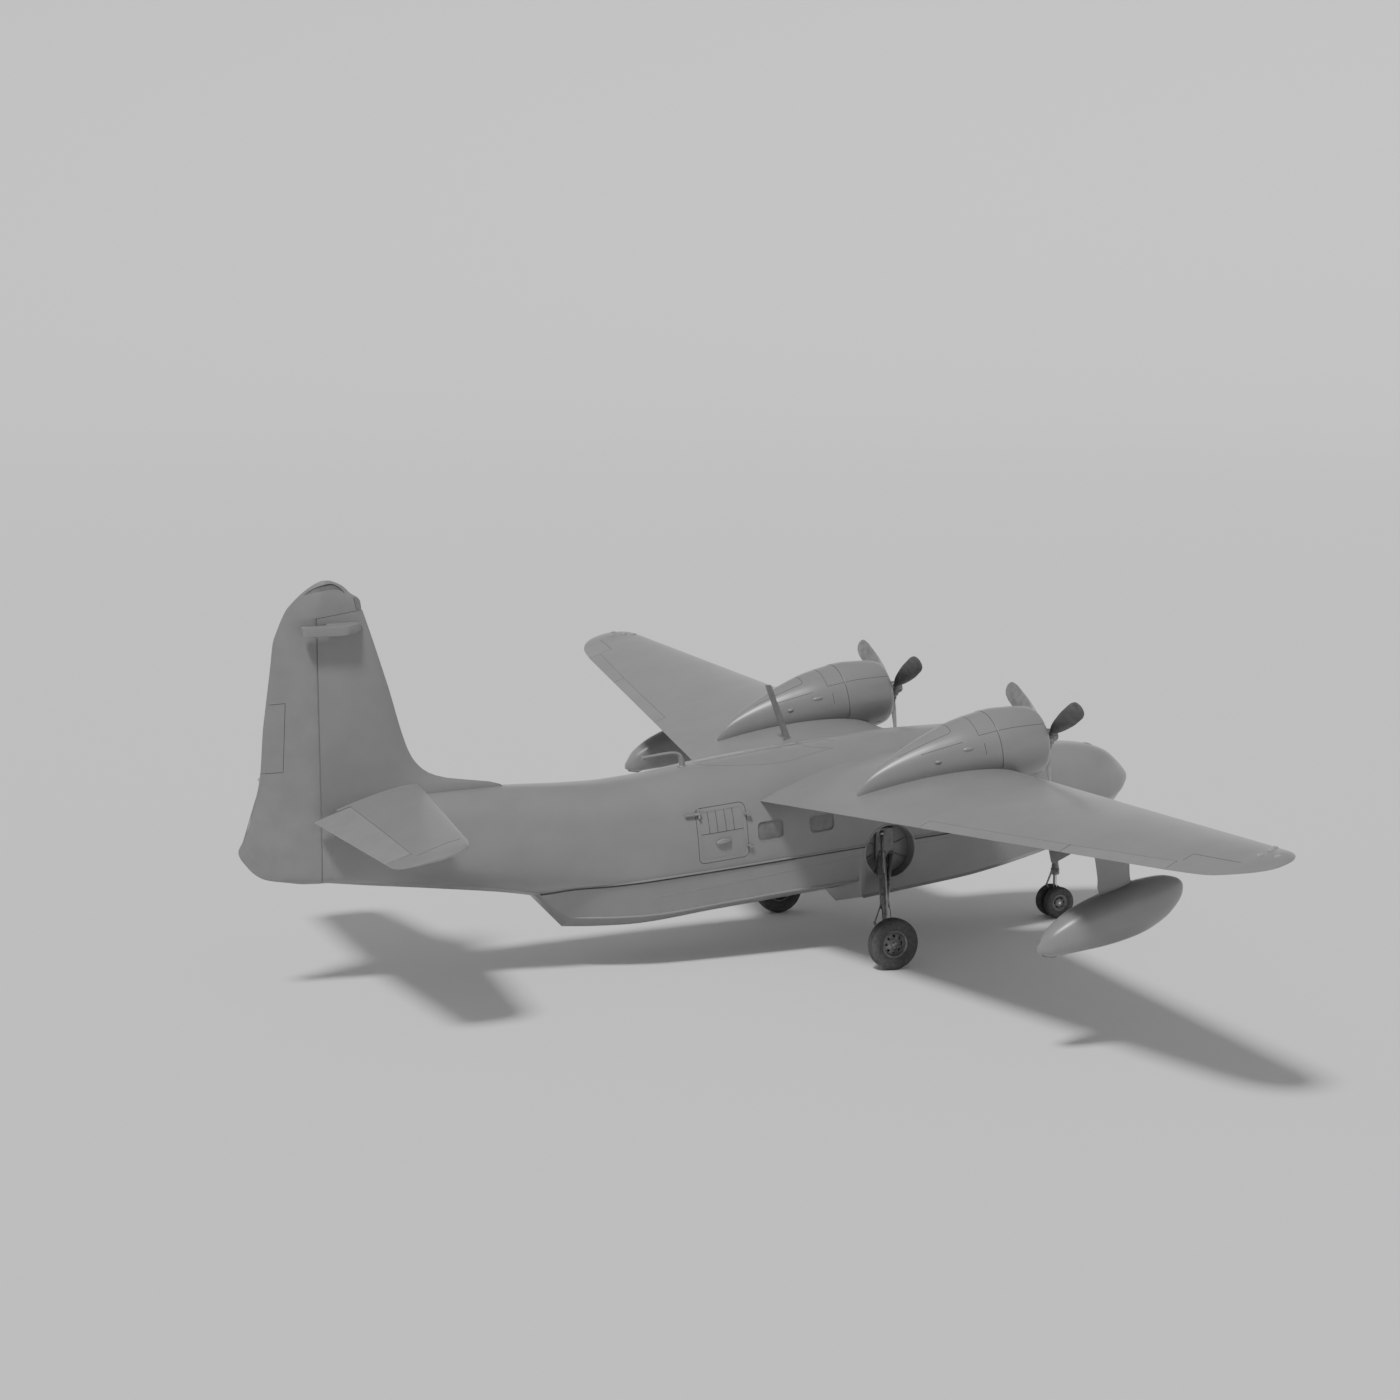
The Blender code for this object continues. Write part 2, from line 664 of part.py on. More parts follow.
def control_frame(side, table, control, radius):
    """Axis of a control: frame at its inner end with Z outwards along the axis, and its length."""
    _, inner, outer, nose_inner, nose_outer = control
    ends = []
    for out, nose in ((inner, nose_inner), (outer, nose_outer)):
        _, lead_a, lead_z, trail_a, trail_z, _ = between(table, out)
        station = nose + radius
        height = lead_z + (trail_z - lead_z) * (station - lead_a) / (trail_a - lead_a)
        ends.append(place(side, out, station, height + AXIS_LIFT))
    direction = ends[1] - ends[0]
    return frame_at(ends[0], direction), direction.length


def control_outline(aft, radius, steps=8):
    """Round nose about the axis, open aft, as (across, up) in the axis frame."""
    outline = []
    for step in range(steps + 1):
        angle = math.pi / 2.0 + math.pi * step / steps
        outline.append((aft * radius * math.cos(angle), radius * math.sin(angle)))
    outline.append((aft * BAY_REACH, -BAY_HALF_HEIGHT))
    outline.append((aft * BAY_REACH, BAY_HALF_HEIGHT))
    return outline


def build_control(side, word, surface, table, control, camber, boss_ends, finish_name):
    """Cuts the bay of a control in its surface, and makes the control from the same skin."""
    name = control[0] + "_" + word
    frame, length = control_frame(side, table, control, NOSE_RADIUS)
    aft = side
    wall = -(NOSE_RADIUS + RUN_GAP) * aft
    low, high = sorted((wall, aft * BAY_REACH))
    tall = BAY_HALF_HEIGHT
    bay_start = 0.0 if 0 in boss_ends else -BAY_FREE_END
    bay_stop = length if 1 in boss_ends else length + BAY_FREE_END
    bay_outline = ((low, -tall), (high, -tall), (high, tall), (low, tall))
    cut(surface, add_cutter("bay_" + name, prism(bay_outline, frame, bay_start, bay_stop)))
    for end in boss_ends:
        start = -BOSS_DEPTH if end == 0 else length + BOSS_DEPTH
        stop = RUN_GAP - SEAT_GAP if end == 0 else length - RUN_GAP + SEAT_GAP
        boss = rod(frame @ Vector((0.0, 0.0, start)), frame @ Vector((0.0, 0.0, stop)), BOSS_RADIUS)
        join(surface, add_cutter("boss_%s_%d" % (name, end), boss))
    control_thing = add_object(name, surface_body(side, table, camber), finish_name, frame.translation)
    shape = control_outline(aft, NOSE_RADIUS)
    keep(control_thing, add_cutter("envelope_" + name, prism(shape, frame, RUN_GAP, length - RUN_GAP)))


def shaft_frame(side):
    """Frame at the cowl lip with its Z aft along the shaft and its Y up."""
    origin = place(side, ENGINE_OUT, *COWL_LIP)
    aft = Vector((0.0, math.cos(SHAFT_TILT), -math.sin(SHAFT_TILT)))
    return frame_at(origin, aft)


def build_hull():
    outer = add_cutter("hull_shape_grown", hull_body(0.0, HULL[-1][0], SEAT_GAP))
    bow = add_object("hull_bow", hull_body(0.0, BOW_END - SEAT_GAP), "paint_grey")
    low_a, high_a, well_half, well_top = NOSE_WELL
    nose_well = add_cutter(
        "nose_well", box(place(PORT, -well_half, low_a, 0.5), place(PORT, well_half, high_a, well_top))
    )
    cut(bow, nose_well)

    middle = add_object("hull_cabin", hull_body(BOW_END, CABIN_END), "paint_grey")
    cockpit_room = add_cutter("cockpit_room", cavity(COCKPIT_CAVITY))
    cabin_room = add_cutter("cabin_room", cavity(CABIN_CAVITY))
    bilge_end = CABIN_END + 0.3
    bilge = add_cutter("bilge_room", hull_body(BILGE_START, bilge_end, -WALL))
    (first_a, first_z, _), (last_a, last_z, _) = CABIN_CAVITY[0], CABIN_CAVITY[-1]
    end_z = last_z + (last_z - first_z) * (bilge_end - last_a) / (last_a - first_a)
    under_deck = (
        (first_a, 0.3), (bilge_end, 0.3),
        (bilge_end, end_z - DECK_THICKNESS), (first_a, first_z - DECK_THICKNESS),
    )
    keep(bilge, add_cutter("under_deck", side_prism(under_deck, PORT, -1.5, 1.5)))
    cut(middle, cockpit_room, cabin_room, bilge)
    for side, word in SIDES:
        along_x = frame_at(place(side, 0.0, *WELL_CENTRE), Vector((float(side), 0.0, 0.0)))
        profile = ((HULL_HALF_WIDTH - WELL_DEPTH, WELL_RADIUS), (CUT_FAR, WELL_RADIUS))
        cut(middle, add_cutter("wheel_well_" + word, turned(profile, along_x, 32)))
        for index, (centre_a, centre_z, wide, tall) in enumerate(WINDOWS):
            corners = turned_rectangle((centre_a, centre_z), (wide, tall), WINDOW_TILT)
            outline = rounded(corners, WINDOW_CORNER)
            window = side_prism(outline, side, CUT_NEAR, CUT_FAR)
            cut(middle, add_cutter("window_%s_%d" % (word, index), window))
        for index, corners in enumerate(SIDE_GLASS):
            outline = rounded(corners, 0.05, 3)
            window = side_prism(outline, side, COCKPIT_CUT_NEAR, CUT_FAR)
            cut(middle, add_cutter("side_glass_%s_%d" % (word, index), window))
        outline = rounded([(side * w, z) for w, z in FRONT_GLASS], 0.03, 2)
        front = frame_at(place(side, 0.0, 2.0, 0.0), Vector((0.0, 1.0, 0.0)))
        flipped = [(-x, y) for x, y in outline]
        cut(middle, add_cutter("front_glass_" + word, prism(flipped, front, 0.0, 1.3)))
    corners = turned_rectangle(DOOR_CENTRE, DOOR_SIZE, DOOR_TILT)
    doorway = side_prism(rounded(corners, DOOR_CORNER), STARBOARD, CUT_NEAR, CUT_FAR)
    cut(middle, add_cutter("doorway", doorway))

    tail = add_object("hull_tail", hull_body(CABIN_END + SEAT_GAP, HULL[-1][0]), "paint_grey")
    cut(tail, add_cutter("tail_room", hull_body(CABIN_END - 0.5, TAIL_ROOM_END, -TAIL_WALL)))
    return outer, middle, tail


def door_hinge_line():
    """Lowest and highest point of the door's hinge axis."""
    half_w = DOOR_SIZE[0] / 2.0 + DOOR_HINGE_GAP
    half_h = DOOR_SIZE[1] / 2.0
    ends = []
    for over in (-half_h, half_h):
        station = DOOR_CENTRE[0] - half_w * math.cos(DOOR_TILT) + over * math.sin(DOOR_TILT)
        height = DOOR_CENTRE[1] + half_w * math.sin(DOOR_TILT) + over * math.cos(DOOR_TILT)
        ends.append(place(STARBOARD, DOOR_HINGE_OUT, station, height))
    return ends


def build_door(hull_cabin):
    low, high = door_hinge_line()
    axis = (high - low).normalized()
    middle = (low + high) / 2.0
    door = add_object("cabin_door", hull_body(8.0, CABIN_END), "paint_grey", middle)
    corners = turned_rectangle(DOOR_CENTRE, DOOR_SIZE, DOOR_TILT, RUN_GAP)
    outline = rounded(corners, DOOR_CORNER - RUN_GAP)
    keep(door, add_cutter("door_envelope", side_prism(outline, STARBOARD, CUT_NEAR, CUT_FAR)))
    cut(door, add_cutter("door_room", cavity(CABIN_CAVITY)))
    knuckle = HINGE_KNUCKLE
    for index, over in enumerate(DOOR_HINGE_HEIGHTS):
        base = middle + axis * over
        hull_end = base - axis * SEAT_GAP
        for word, start, end, direction, owner in (
            ("hull", hull_end - axis * knuckle, hull_end, -1.0, hull_cabin),
            ("door", base, base + axis * knuckle, 1.0, door),
        ):
            barrel = add_cutter("barrel_%s_%d" % (word, index), rod(start, end, HINGE_RADIUS, 12))
            forward = axis.cross(Vector((1.0, 0.0, 0.0))).normalized()
            if forward.y * direction < 0.0:
                forward = -forward
            frame = Matrix.Translation(start) @ Matrix(
                (Vector((1.0, 0.0, 0.0)), forward, axis)
            ).transposed().to_4x4()
            leaf = add_cutter("leaf_%s_%d" % (word, index), prism(HINGE_LEAF, frame, 0.0, knuckle))
            join(owner, leaf)
            join(owner, barrel)
    station, height = DOOR_CENTRE[0] + HANDLE_PLACE[0], DOOR_CENTRE[1] + HANDLE_PLACE[1]
    skin = half_width_at(station, height)
    bar_ends = []
    post_ends = []
    for sign in (-1.0, 1.0):
        bar_station = station + sign * HANDLE_HALF
        bar_ends.append(place(STARBOARD, skin + HANDLE_STANDOFF, bar_station, height))
        post_ends.append(place(STARBOARD, skin + sign * HANDLE_STANDOFF, station, height))
    join(
        door,
        add_cutter("handle_post", rod(*post_ends, HANDLE_POST_RADIUS, 10)),
        add_cutter("handle_bar", rod(*bar_ends, HANDLE_RADIUS, 10)),
    )


def build_cabin_fittings():
    for word, table in (("cockpit_floor", COCKPIT_CAVITY), ("cabin_floor", CABIN_CAVITY)):
        rings = []
        stations = [
            table[0][0] + FLOOR_INSET, *(row[0] for row in table[1:-1]), table[-1][0] - FLOOR_INSET
        ]
        for station in stations:
            _, floor, _ = between(table, station)
            top = floor + FLOOR_THICKNESS
            bottom = floor + SEAT_GAP
            half = min(half_width_at(station, level) for level in (floor, top)) - WALL - FLOOR_INSET
            rings.append([
                place(STARBOARD, half, station, bottom), place(PORT, half, station, bottom),
                place(PORT, half, station, top), place(STARBOARD, half, station, top),
            ])
        add_object(word, loft(rings), "cabin_trim")


def nacelle_rings(frame):
    first, last = NACELLE[0][0], NACELLE[-1][0]
    spacing = (last - first) / NACELLE_RINGS
    rows = [eased(NACELLE, first + spacing * step) for step in range(NACELLE_RINGS + 1)]
    rings = []
    for along, lift, wide, rise, drop in (*ENGINE_MOUNT, *rows):
        ring = []
        for index in range(NACELLE_SIDES):
            angle = TAU * index / NACELLE_SIDES
            tall = rise if math.sin(angle) > 0.0 else drop
            ring.append(frame @ Vector((wide * math.cos(angle), lift + tall * math.sin(angle), along)))
        rings.append(ring)
    return rings


def build_wing(outer):
    for side, word in SIDES:
        wing = add_object("wing_" + word, surface_body(side, WING_STATIONS), "paint_grey")
        cut(wing, outer)
        build_control(side, word, wing, WING_STATIONS, FLAP, WING_CAMBER, (0,), "paint_grey")
        build_control(side, word, wing, WING_STATIONS, AILERON, WING_CAMBER, (1,), "doped_fabric")
        nacelle = add_object("nacelle_" + word, loft(nacelle_rings(shaft_frame(side))), "paint_grey")
        cut(nacelle, grown_copy("wing_shape_" + word, surface_body(side, WING_STATIONS)))


def blade_rings(frame, spin):
    rings = []
    for radius, chord, thickness, pitch in BLADE_SECTIONS:
        turn = math.radians(pitch)
        ring = []
        for step in range(BLADE_SIDES):
            around = TAU * step / BLADE_SIDES
            across = chord / 2.0 * math.cos(around)
            thick = thickness / 2.0 * math.sin(around)
            point = Vector((
                radius,
                across * math.cos(turn) - thick * math.sin(turn),
                BLADE_PLACE + across * math.sin(turn) + thick * math.cos(turn),
            ))
            ring.append(frame @ (spin @ point))
        rings.append(ring)
    return rings


def build_power():
    for side, word in SIDES:
        frame = shaft_frame(side)
        cowl = add_object("cowl_" + word, turned(COWL_PROFILE, frame, COWL_SIDES, closed=True), "paint_grey")
        half, fore, aft, low, high = COWL_SLOT
        middle = side * ENGINE_OUT
        slot = box(place(PORT, middle - half, fore, low), place(PORT, middle + half, aft, high))
        cut(cowl, bpy.data.objects["wing_shape_" + word], add_cutter("cowl_slot_" + word, slot))

        engine = add_object("engine_" + word, turned(CRANKCASE, frame, ROUND_SIDES), "engine_metal")
        centre = Vector((0.0, 0.0, CYLINDER_PLACE))
        mesh = bmesh.new()
        for index in range(CYLINDERS):
            angle = TAU * index / CYLINDERS + math.pi / 2.0
            outwards = Vector((math.cos(angle), math.sin(angle), 0.0))
            start = frame @ (centre + outwards * CYLINDER_REACH[0])
            end = frame @ (centre + outwards * CYLINDER_REACH[1])
            part = rod(start, end, CYLINDER_RADIUS, 12)
            data = bpy.data.meshes.new("cylinder")
            part.to_mesh(data)
            part.free()
            mesh.from_mesh(data)
        join(engine, add_cutter("cylinders_" + word, mesh))

        hub_origin = frame @ Vector((0.0, 0.0, BLADE_PLACE))
        hub = turned(HUB_PROFILE, frame, ROUND_SIDES)
        propeller = add_object("propeller_" + word, hub, "airscrew_metal", hub_origin)
        for index in range(BLADES):
            spin = Matrix.Rotation(TAU * index / BLADES - math.pi / 2.0, 4, "Z")
            join(propeller, add_cutter("blade_%s_%d" % (word, index), loft(blade_rings(frame, spin))))


def float_rings(side):
    rings = []
    for row_station in FLOAT_RINGS:
        station, keel, widest, deck, half = eased(FLOAT_STATIONS, row_station)
        ring = []
        for step in range(FLOAT_SIDES):
            angle = TAU * step / FLOAT_SIDES
            wide, tall = math.cos(angle), math.sin(angle)
            powers, reach = (FLOAT_ABOVE, deck - widest) if tall > 0.0 else (FLOAT_BELOW, widest - keel)
            out = math.copysign(abs(wide) ** powers[0], wide) * half
            lift = math.copysign(abs(tall) ** powers[1], tall) * reach
            ring.append(place(side, FLOAT_OUT + out, station, widest + lift))
        rings.append(ring)
    return rings


def build_floats():
    for side, word in SIDES:
        add_object("float_" + word, loft(float_rings(side)), "paint_grey")
        strut_rings = []
        for height, (fore, aft, half) in zip(STRUT_HEIGHTS, (STRUT_FOOT, STRUT_HEAD)):
            ring = []
            for step in range(STRUT_SIDES):
                around = TAU * step / STRUT_SIDES
                share = 0.5 - 0.5 * math.cos(around)
                thick = half * math.sin(around) * (0.75 - 0.25 * share)
                ring.append(place(side, FLOAT_OUT + thick, fore + (aft - fore) * share, height))
            strut_rings.append(ring)
        strut = add_object("float_strut_" + word, loft(strut_rings), "paint_grey")
        grown = grown_copy("float_shape_" + word, loft(float_rings(side)))
        cut(strut, grown, bpy.data.objects["wing_shape_" + word])
        middle = side * FLOAT_OUT
        foot, head = STRUT_TRIM
        for end, low, high in (("head", head, head + 1.0), ("foot", foot - 0.6, foot)):
            trim = box(place(PORT, middle - 1.0, 5.0, low), place(PORT, middle + 1.0, 7.2, high))
            cut(strut, add_cutter("strut_trim_%s_%s" % (end, word), trim))


def fin_section(height_of, lead, trail, half, steps=(0.0, 0.03, 0.10, 0.25, 0.45, 0.70, 1.0)):
    """Ring of a symmetric section with a square back, height given for each station."""
    starboard = []
    for x in steps:
        station = lead + (trail - lead) * x
        wide = half * math.sqrt(min(1.0, 2.0 * x - x * x)) if x < 1.0 else half
        starboard.append((max(wide, 0.004), station))
    ring = [place(STARBOARD, w, a, height_of(a)) for w, a in starboard]
    ring += [place(PORT, w, a, height_of(a)) for w, a in reversed(starboard)]
    return ring


def rudder_half(height):
    """Half thickness of the rudder at its axis."""
    if height < HULL[-1][7]:
        return half_width_at(HULL[-1][0], height)
    return 0.17 - 0.07 * max(0.0, min(1.0, (height - 3.6) / 3.6))


def fin_body(grow=0.0):
    rings = []
    for height, lead, half in FIN_LEVELS[:-1]:
        back = RUDDER_AXIS - rudder_half(height) - RUN_GAP
        rings.append(fin_section(lambda a, h=height: h, lead - grow, back + grow, half + grow))
    _, lead, half = FIN_LEVELS[-1]
    back = RUDDER_AXIS - rudder_half(HORN_BASE) - RUN_GAP
    top = HORN_BASE - RUN_GAP
    rings.append(fin_section(
        lambda a: top + HORN_SLOPE * (RUDDER_AXIS - a), lead - grow, back + grow, half + grow
    ))
    return loft(rings)


def horn_rings():
    rings = []
    for index, (height, lead, trail, half) in enumerate(HORN_LEVELS):
        slope = HORN_SLOPE if index == 0 else HORN_SLOPE * 0.5 if index == 1 else 0.0
        ring = []
        for x in (0.0, 0.04, 0.12, 0.28, 0.48, 0.72, 1.0):
            station = lead + (trail - lead) * x
            wide = half * min(1.0, math.sqrt(x / 0.4))
            if x > 0.48:
                wide = half * (1.0 - (x - 0.48) / 0.52) + 0.006
            ring.append((max(wide, 0.004), station, height + slope * (RUDDER_AXIS - station)))
        starboard = [place(STARBOARD, w, a, z) for w, a, z in ring]
        port = [place(PORT, w, a, z) for w, a, z in reversed(ring)]
        rings.append(starboard + port)
    return rings


def pad_rings(side):
    rings = []
    for station, inner, outer, tall in PAD_STATIONS:
        wide = outer - inner
        section = (
            (inner, -0.55), (inner + 0.15 * wide, -1.0), (outer - 0.20 * wide, -1.0), (outer, -0.45),
            (outer, 0.45), (outer - 0.20 * wide, 1.0), (inner + 0.15 * wide, 1.0), (inner, 0.55),
        )
        rings.append([place(side, out, station, PAD_HEIGHT + tall * up) for out, up in section])
    return rings


def rudder_rings():
    rings = []
    low, high = RUDDER_LEVELS[0][0], RUDDER_LEVELS[-1][0]
    for step in range(RUDDER_RINGS + 1):
        # Rings lie closer together near the rounded bottom
        height, trail = eased(RUDDER_LEVELS, low + (high - low) * (step / RUDDER_RINGS) ** 1.5)
        half = rudder_half(height)
        ring = []
        for tick in range(9):
            angle = math.pi / 2.0 + math.pi * tick / 8
            ring.append(place(PORT, half * math.sin(angle), RUDDER_AXIS + half * math.cos(angle), height))
        ring.append(place(STARBOARD, RUDDER_EDGE, trail, height))
        ring.append(place(PORT, RUDDER_EDGE, trail, height))
        rings.append(ring)
    return rings


def build_tail(outer, hull_tail):
    fin = add_object("fin", fin_body(), "paint_grey")
    cut(fin, outer)

    axis_point = place(PORT, 0.0, RUDDER_AXIS, (RUDDER_LEVELS[0][0] + HORN_BASE) / 2.0)
    rudder = add_object("rudder", loft(rudder_rings()), "doped_fabric", axis_point)
    join(rudder, add_cutter("horn", loft(horn_rings())))

    for index, height in enumerate(RUDDER_LUGS):
        owner = hull_tail if height < HULL[-1][8] else fin
        tall = LUG_HALF_HEIGHT
        seat = tall - SEAT_GAP
        notch = box(
            place(STARBOARD, NOTCH_REACH, RUDDER_AXIS - NOTCH_REACH, height - tall),
            place(PORT, NOTCH_REACH, RUDDER_AXIS + 1.5 * LUG_RADIUS, height + tall),
        )
        cut(rudder, add_cutter("notch_%d" % index, notch))
        front = RUDDER_AXIS - rudder_half(height) - RUN_GAP - LUG_ROOT
        low_end = place(PORT, 0.0, RUDDER_AXIS, height - seat)
        high_end = place(PORT, 0.0, RUDDER_AXIS, height + seat)
        plate = box(
            place(STARBOARD, LUG_RADIUS, front, height - seat),
            place(PORT, LUG_RADIUS, RUDDER_AXIS, height + seat),
        )
        eye = rod(low_end, high_end, LUG_RADIUS)
        join(owner, add_cutter("lug_plate_%d" % index, plate), add_cutter("lug_eye_%d" % index, eye))

    fin_grown = add_cutter("fin_shape", fin_body(SEAT_GAP))
    for side, word in SIDES:
        tailplane = add_object("tailplane_" + word, surface_body(side, TAIL_STATIONS, 0.0), "paint_grey")
        cut(tailplane, outer, fin_grown)
        build_control(side, word, tailplane, TAIL_STATIONS, ELEVATOR, 0.0, (1,), "doped_fabric")
        half, fore, aft, low, high = RUDDER_ROOM
        near, far = sorted((0.0, side * half))
        rear = box(place(PORT, near, fore, low), place(PORT, far, aft, high))
        cut(tailplane, add_cutter("rudder_room_" + word, rear))
        pad = add_object("fin_pad_" + word, loft(pad_rings(side)), "paint_grey")
        cut(pad, fin_grown)


def tyre_profile(radius, half_width, rim_radius):
    """Closed tyre section as (along the axle, radius) points."""
    height = radius - rim_radius
    shape = (
        (-RIM_SHARE, 0.00), (-0.86, 0.22), (-1.00, 0.52), (-0.88, 0.82), (-0.55, 0.97), (0.0, 1.00),
        (0.55, 0.97), (0.88, 0.82), (1.00, 0.52), (0.86, 0.22), (RIM_SHARE, 0.00),
    )
    return [(half_width * x, rim_radius + height * y) for x, y in shape]


def rim_profile(half_width, rim_radius, bore):
    """Closed rim section with a dished face and a hub bore."""
    edge = half_width * RIM_SHARE
    hub = edge * HUB_SHARE
    web = edge * 0.30
    return [
        (-edge, rim_radius - SEAT_GAP), (-edge, rim_radius - 0.035), (-web, rim_radius - 0.06),
        (-hub, bore + 0.04), (-hub, bore), (hub, bore), (hub, bore + 0.04),
        (web, rim_radius - 0.06), (edge, rim_radius - 0.035), (edge, rim_radius - SEAT_GAP),
    ]


def add_wheel(name, centre, side, sizes, bore, segments):
    radius, half_width, rim_radius = sizes
    frame = frame_at(centre, Vector((float(side), 0.0, 0.0)))
    add_object(name + "_tyre", turned(tyre_profile(radius, half_width, rim_radius), frame, segments, True),
               "tyre_rubber", centre)
    add_object(name + "_rim", turned(rim_profile(half_width, rim_radius, bore), frame, segments, True),
               "bare_metal", centre)


def build_main_gear():
    radius, half_width, _ = MAIN_TYRE
    wheel_out = TRACK / 2.0
    inner = wheel_out - half_width - KNUCKLE_INSET
    hub_half = half_width * RIM_SHARE * HUB_SHARE
    wall = HULL_HALF_WIDTH - WELL_DEPTH + SEAT_GAP
    foot_out = wall + LEG_STANDOFF
    ahead, behind, plate_low, plate_high, thickness = LEG_PLATE
    half, drop, rise = KNUCKLE
    for side, word in SIDES:
        centre = place(side, wheel_out, MAIN_STATION, radius)
        add_wheel("main_" + word, centre, side, MAIN_TYRE, AXLE_RADIUS + BORE_GAP, MAIN_WHEEL_SIDES)
        knuckle = place(side, inner, MAIN_STATION, radius)
        leg_foot = place(side, foot_out, LEG_STATION, LEG_FOOT_HEIGHT)
        leg = add_object("main_leg_" + word, rod(leg_foot, knuckle, LEG_RADIUS), "bare_metal")
        near, far = sorted((side * wall, side * (wall + thickness)))
        low = leg_foot.lerp(knuckle, STRUT_MEETING)
        axle_start = place(side, inner - half / 2.0, MAIN_STATION, radius)
        axle_end = place(side, wheel_out + hub_half + AXLE_PROUD, MAIN_STATION, radius)
        collar_end = place(side, wheel_out - hub_half - SEAT_GAP, MAIN_STATION, radius)
        shock_head = place(side, foot_out, LEG_STATION, SHOCK_HEIGHT)
        drag_head = place(side, foot_out, LEG_STATION - DRAG_PLACE[0], DRAG_PLACE[1])
        shapes = {
            "plate": box(
                place(PORT, near, LEG_STATION - ahead, plate_low),
                place(PORT, far, LEG_STATION + behind, plate_high),
            ),
            "knuckle": box(knuckle - Vector((half, half, drop)), knuckle + Vector((half, half, rise))),
            "axle": rod(axle_start, axle_end, AXLE_RADIUS, 20),
            "collar": rod(knuckle, collar_end, COLLAR_RADIUS, 20),
            "shock": rod(shock_head, low, SHOCK_RADIUS, 14),
            "drag": rod(drag_head, low, DRAG_RADIUS, 12),
        }
        for name, shape in shapes.items():
            join(leg, add_cutter("main_%s_%s" % (name, word), shape))


def build_nose_gear():
    radius, half_width, _ = NOSE_TYRE
    top = place(PORT, 0.0, NOSE_STATION, NOSE_WELL[3] - SEAT_GAP)
    foot = place(PORT, 0.0, NOSE_STATION, STEER_TOP)
    leg = add_object("nose_leg", rod(foot, top, NOSE_LEG_RADIUS, 20), "bare_metal")
    slope = math.atan2(NOSE_BRACE_HIGH - NOSE_BRACE_LOW, NOSE_WELL[1] - NOSE_STATION)
    back = NOSE_WELL[1] - NOSE_BRACE_RADIUS * math.sin(slope) - 3.0 * SEAT_GAP
    brace_low = place(PORT, 0.0, NOSE_STATION, NOSE_BRACE_LOW)
    brace_high = place(PORT, 0.0, back, NOSE_BRACE_HIGH)
    join(leg, add_cutter("nose_brace", rod(brace_low, brace_high, NOSE_BRACE_RADIUS, 12)))

    pivot = place(PORT, 0.0, NOSE_STATION, STEER_TOP - SEAT_GAP)
    post_low = place(PORT, 0.0, NOSE_STATION, radius - FORK_OVERLAP)
    post_high = place(PORT, 0.0, NOSE_STATION, STEER_TOP - FORK_OVERLAP)
    fork = add_object("nose_fork", rod(post_low, post_high, FORK_RADIUS, 20), "bare_metal", pivot)
    hub_half = half_width * RIM_SHARE * HUB_SHARE
    axle_end = NOSE_WHEEL_OUT + hub_half + AXLE_PROUD
    sleeve_end = NOSE_WHEEL_OUT - hub_half - SEAT_GAP
    for name, half, thickness in (
        ("axle", axle_end, NOSE_AXLE_RADIUS), ("sleeve", sleeve_end, SLEEVE_RADIUS),
    ):
        ends = [place(side, half, NOSE_STATION, radius) for side in (STARBOARD, PORT)]
        join(fork, add_cutter("nose_" + name, rod(*ends, thickness)))
    collar_low = place(PORT, 0.0, NOSE_STATION, STEER_TOP - STEER_COLLAR[0])
    join(fork, add_cutter("nose_collar", rod(collar_low, pivot, STEER_COLLAR[1], 20)))

    low_a, high_a, well_half, _ = NOSE_WELL
    hinge = well_half + DOOR_OFFSET
    ends = (low_a + DOOR_INSET, high_a - DOOR_INSET)
    for side, word in SIDES:
        centre = place(side, NOSE_WHEEL_OUT, NOSE_STATION, radius)
        add_wheel("nose_" + word, centre, side, NOSE_TYRE, NOSE_AXLE_RADIUS + BORE_GAP, NOSE_WHEEL_SIDES)
        rings = []
        for station in (ends[0], *(row[0] for row in HULL if ends[0] < row[0] < ends[1]), ends[1]):
            (_, keel_z), (chine_w, chine_z) = hull_half(between(HULL, station))[:2]
            edge = keel_z + (chine_z - keel_z) * hinge / chine_w - DOOR_OFFSET
            rings.append([place(side, hinge + out, station, edge + rise) for out, rise in NOSE_DOOR_SECTION])
        add_object("nose_door_" + word, loft(rings), "paint_grey")


def build_fittings(outer):
    frame = frame_at(place(PORT, 0.0, *DOME_PLACE), Vector((0.0, -0.35, 1.0)))
    dome = add_object("nose_dome", turned(DOME_PROFILE, frame, ROUND_SIDES), "paint_grey")
    cut(dome, outer)
    path = [place(PORT, 0.0, station, height) for station, height in VENT_PATH]
    vent = add_object("vent_pipe", pipe(path, VENT_RADIUS), "paint_grey")
    cut(vent, outer)
    mast_rings = []
    for out, station, height, chord, thick in MAST:
        mast_rings.append([
            place(PORT, out + across * thick / 2.0, station + along * chord / 2.0, height)
            for across, along in MAST_SECTION
        ])
    mast = add_object("mast_aerial", loft(mast_rings), "paint_grey")
    cut(mast, bpy.data.objects["wing_shape_left"])
    cut(mast, add_cutter("mast_trim", box(place(PORT, 1.0, 6.0, 2.0), place(PORT, 3.0, 8.0, 3.85))))


clear_scene()
outer_shape, cabin_hull, tail_hull = build_hull()
build_door(cabin_hull)
build_cabin_fittings()
build_wing(outer_shape)
build_power()
build_floats()
build_tail(outer_shape, tail_hull)
build_main_gear()
build_nose_gear()
build_fittings(outer_shape)
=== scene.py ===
from math import acos, atan2, copysign, cos, exp, hypot, pi, radians, sin, sqrt, tan

import bmesh
import bpy
from mathutils import Matrix, Vector
from mathutils.bvhtree import BVHTree


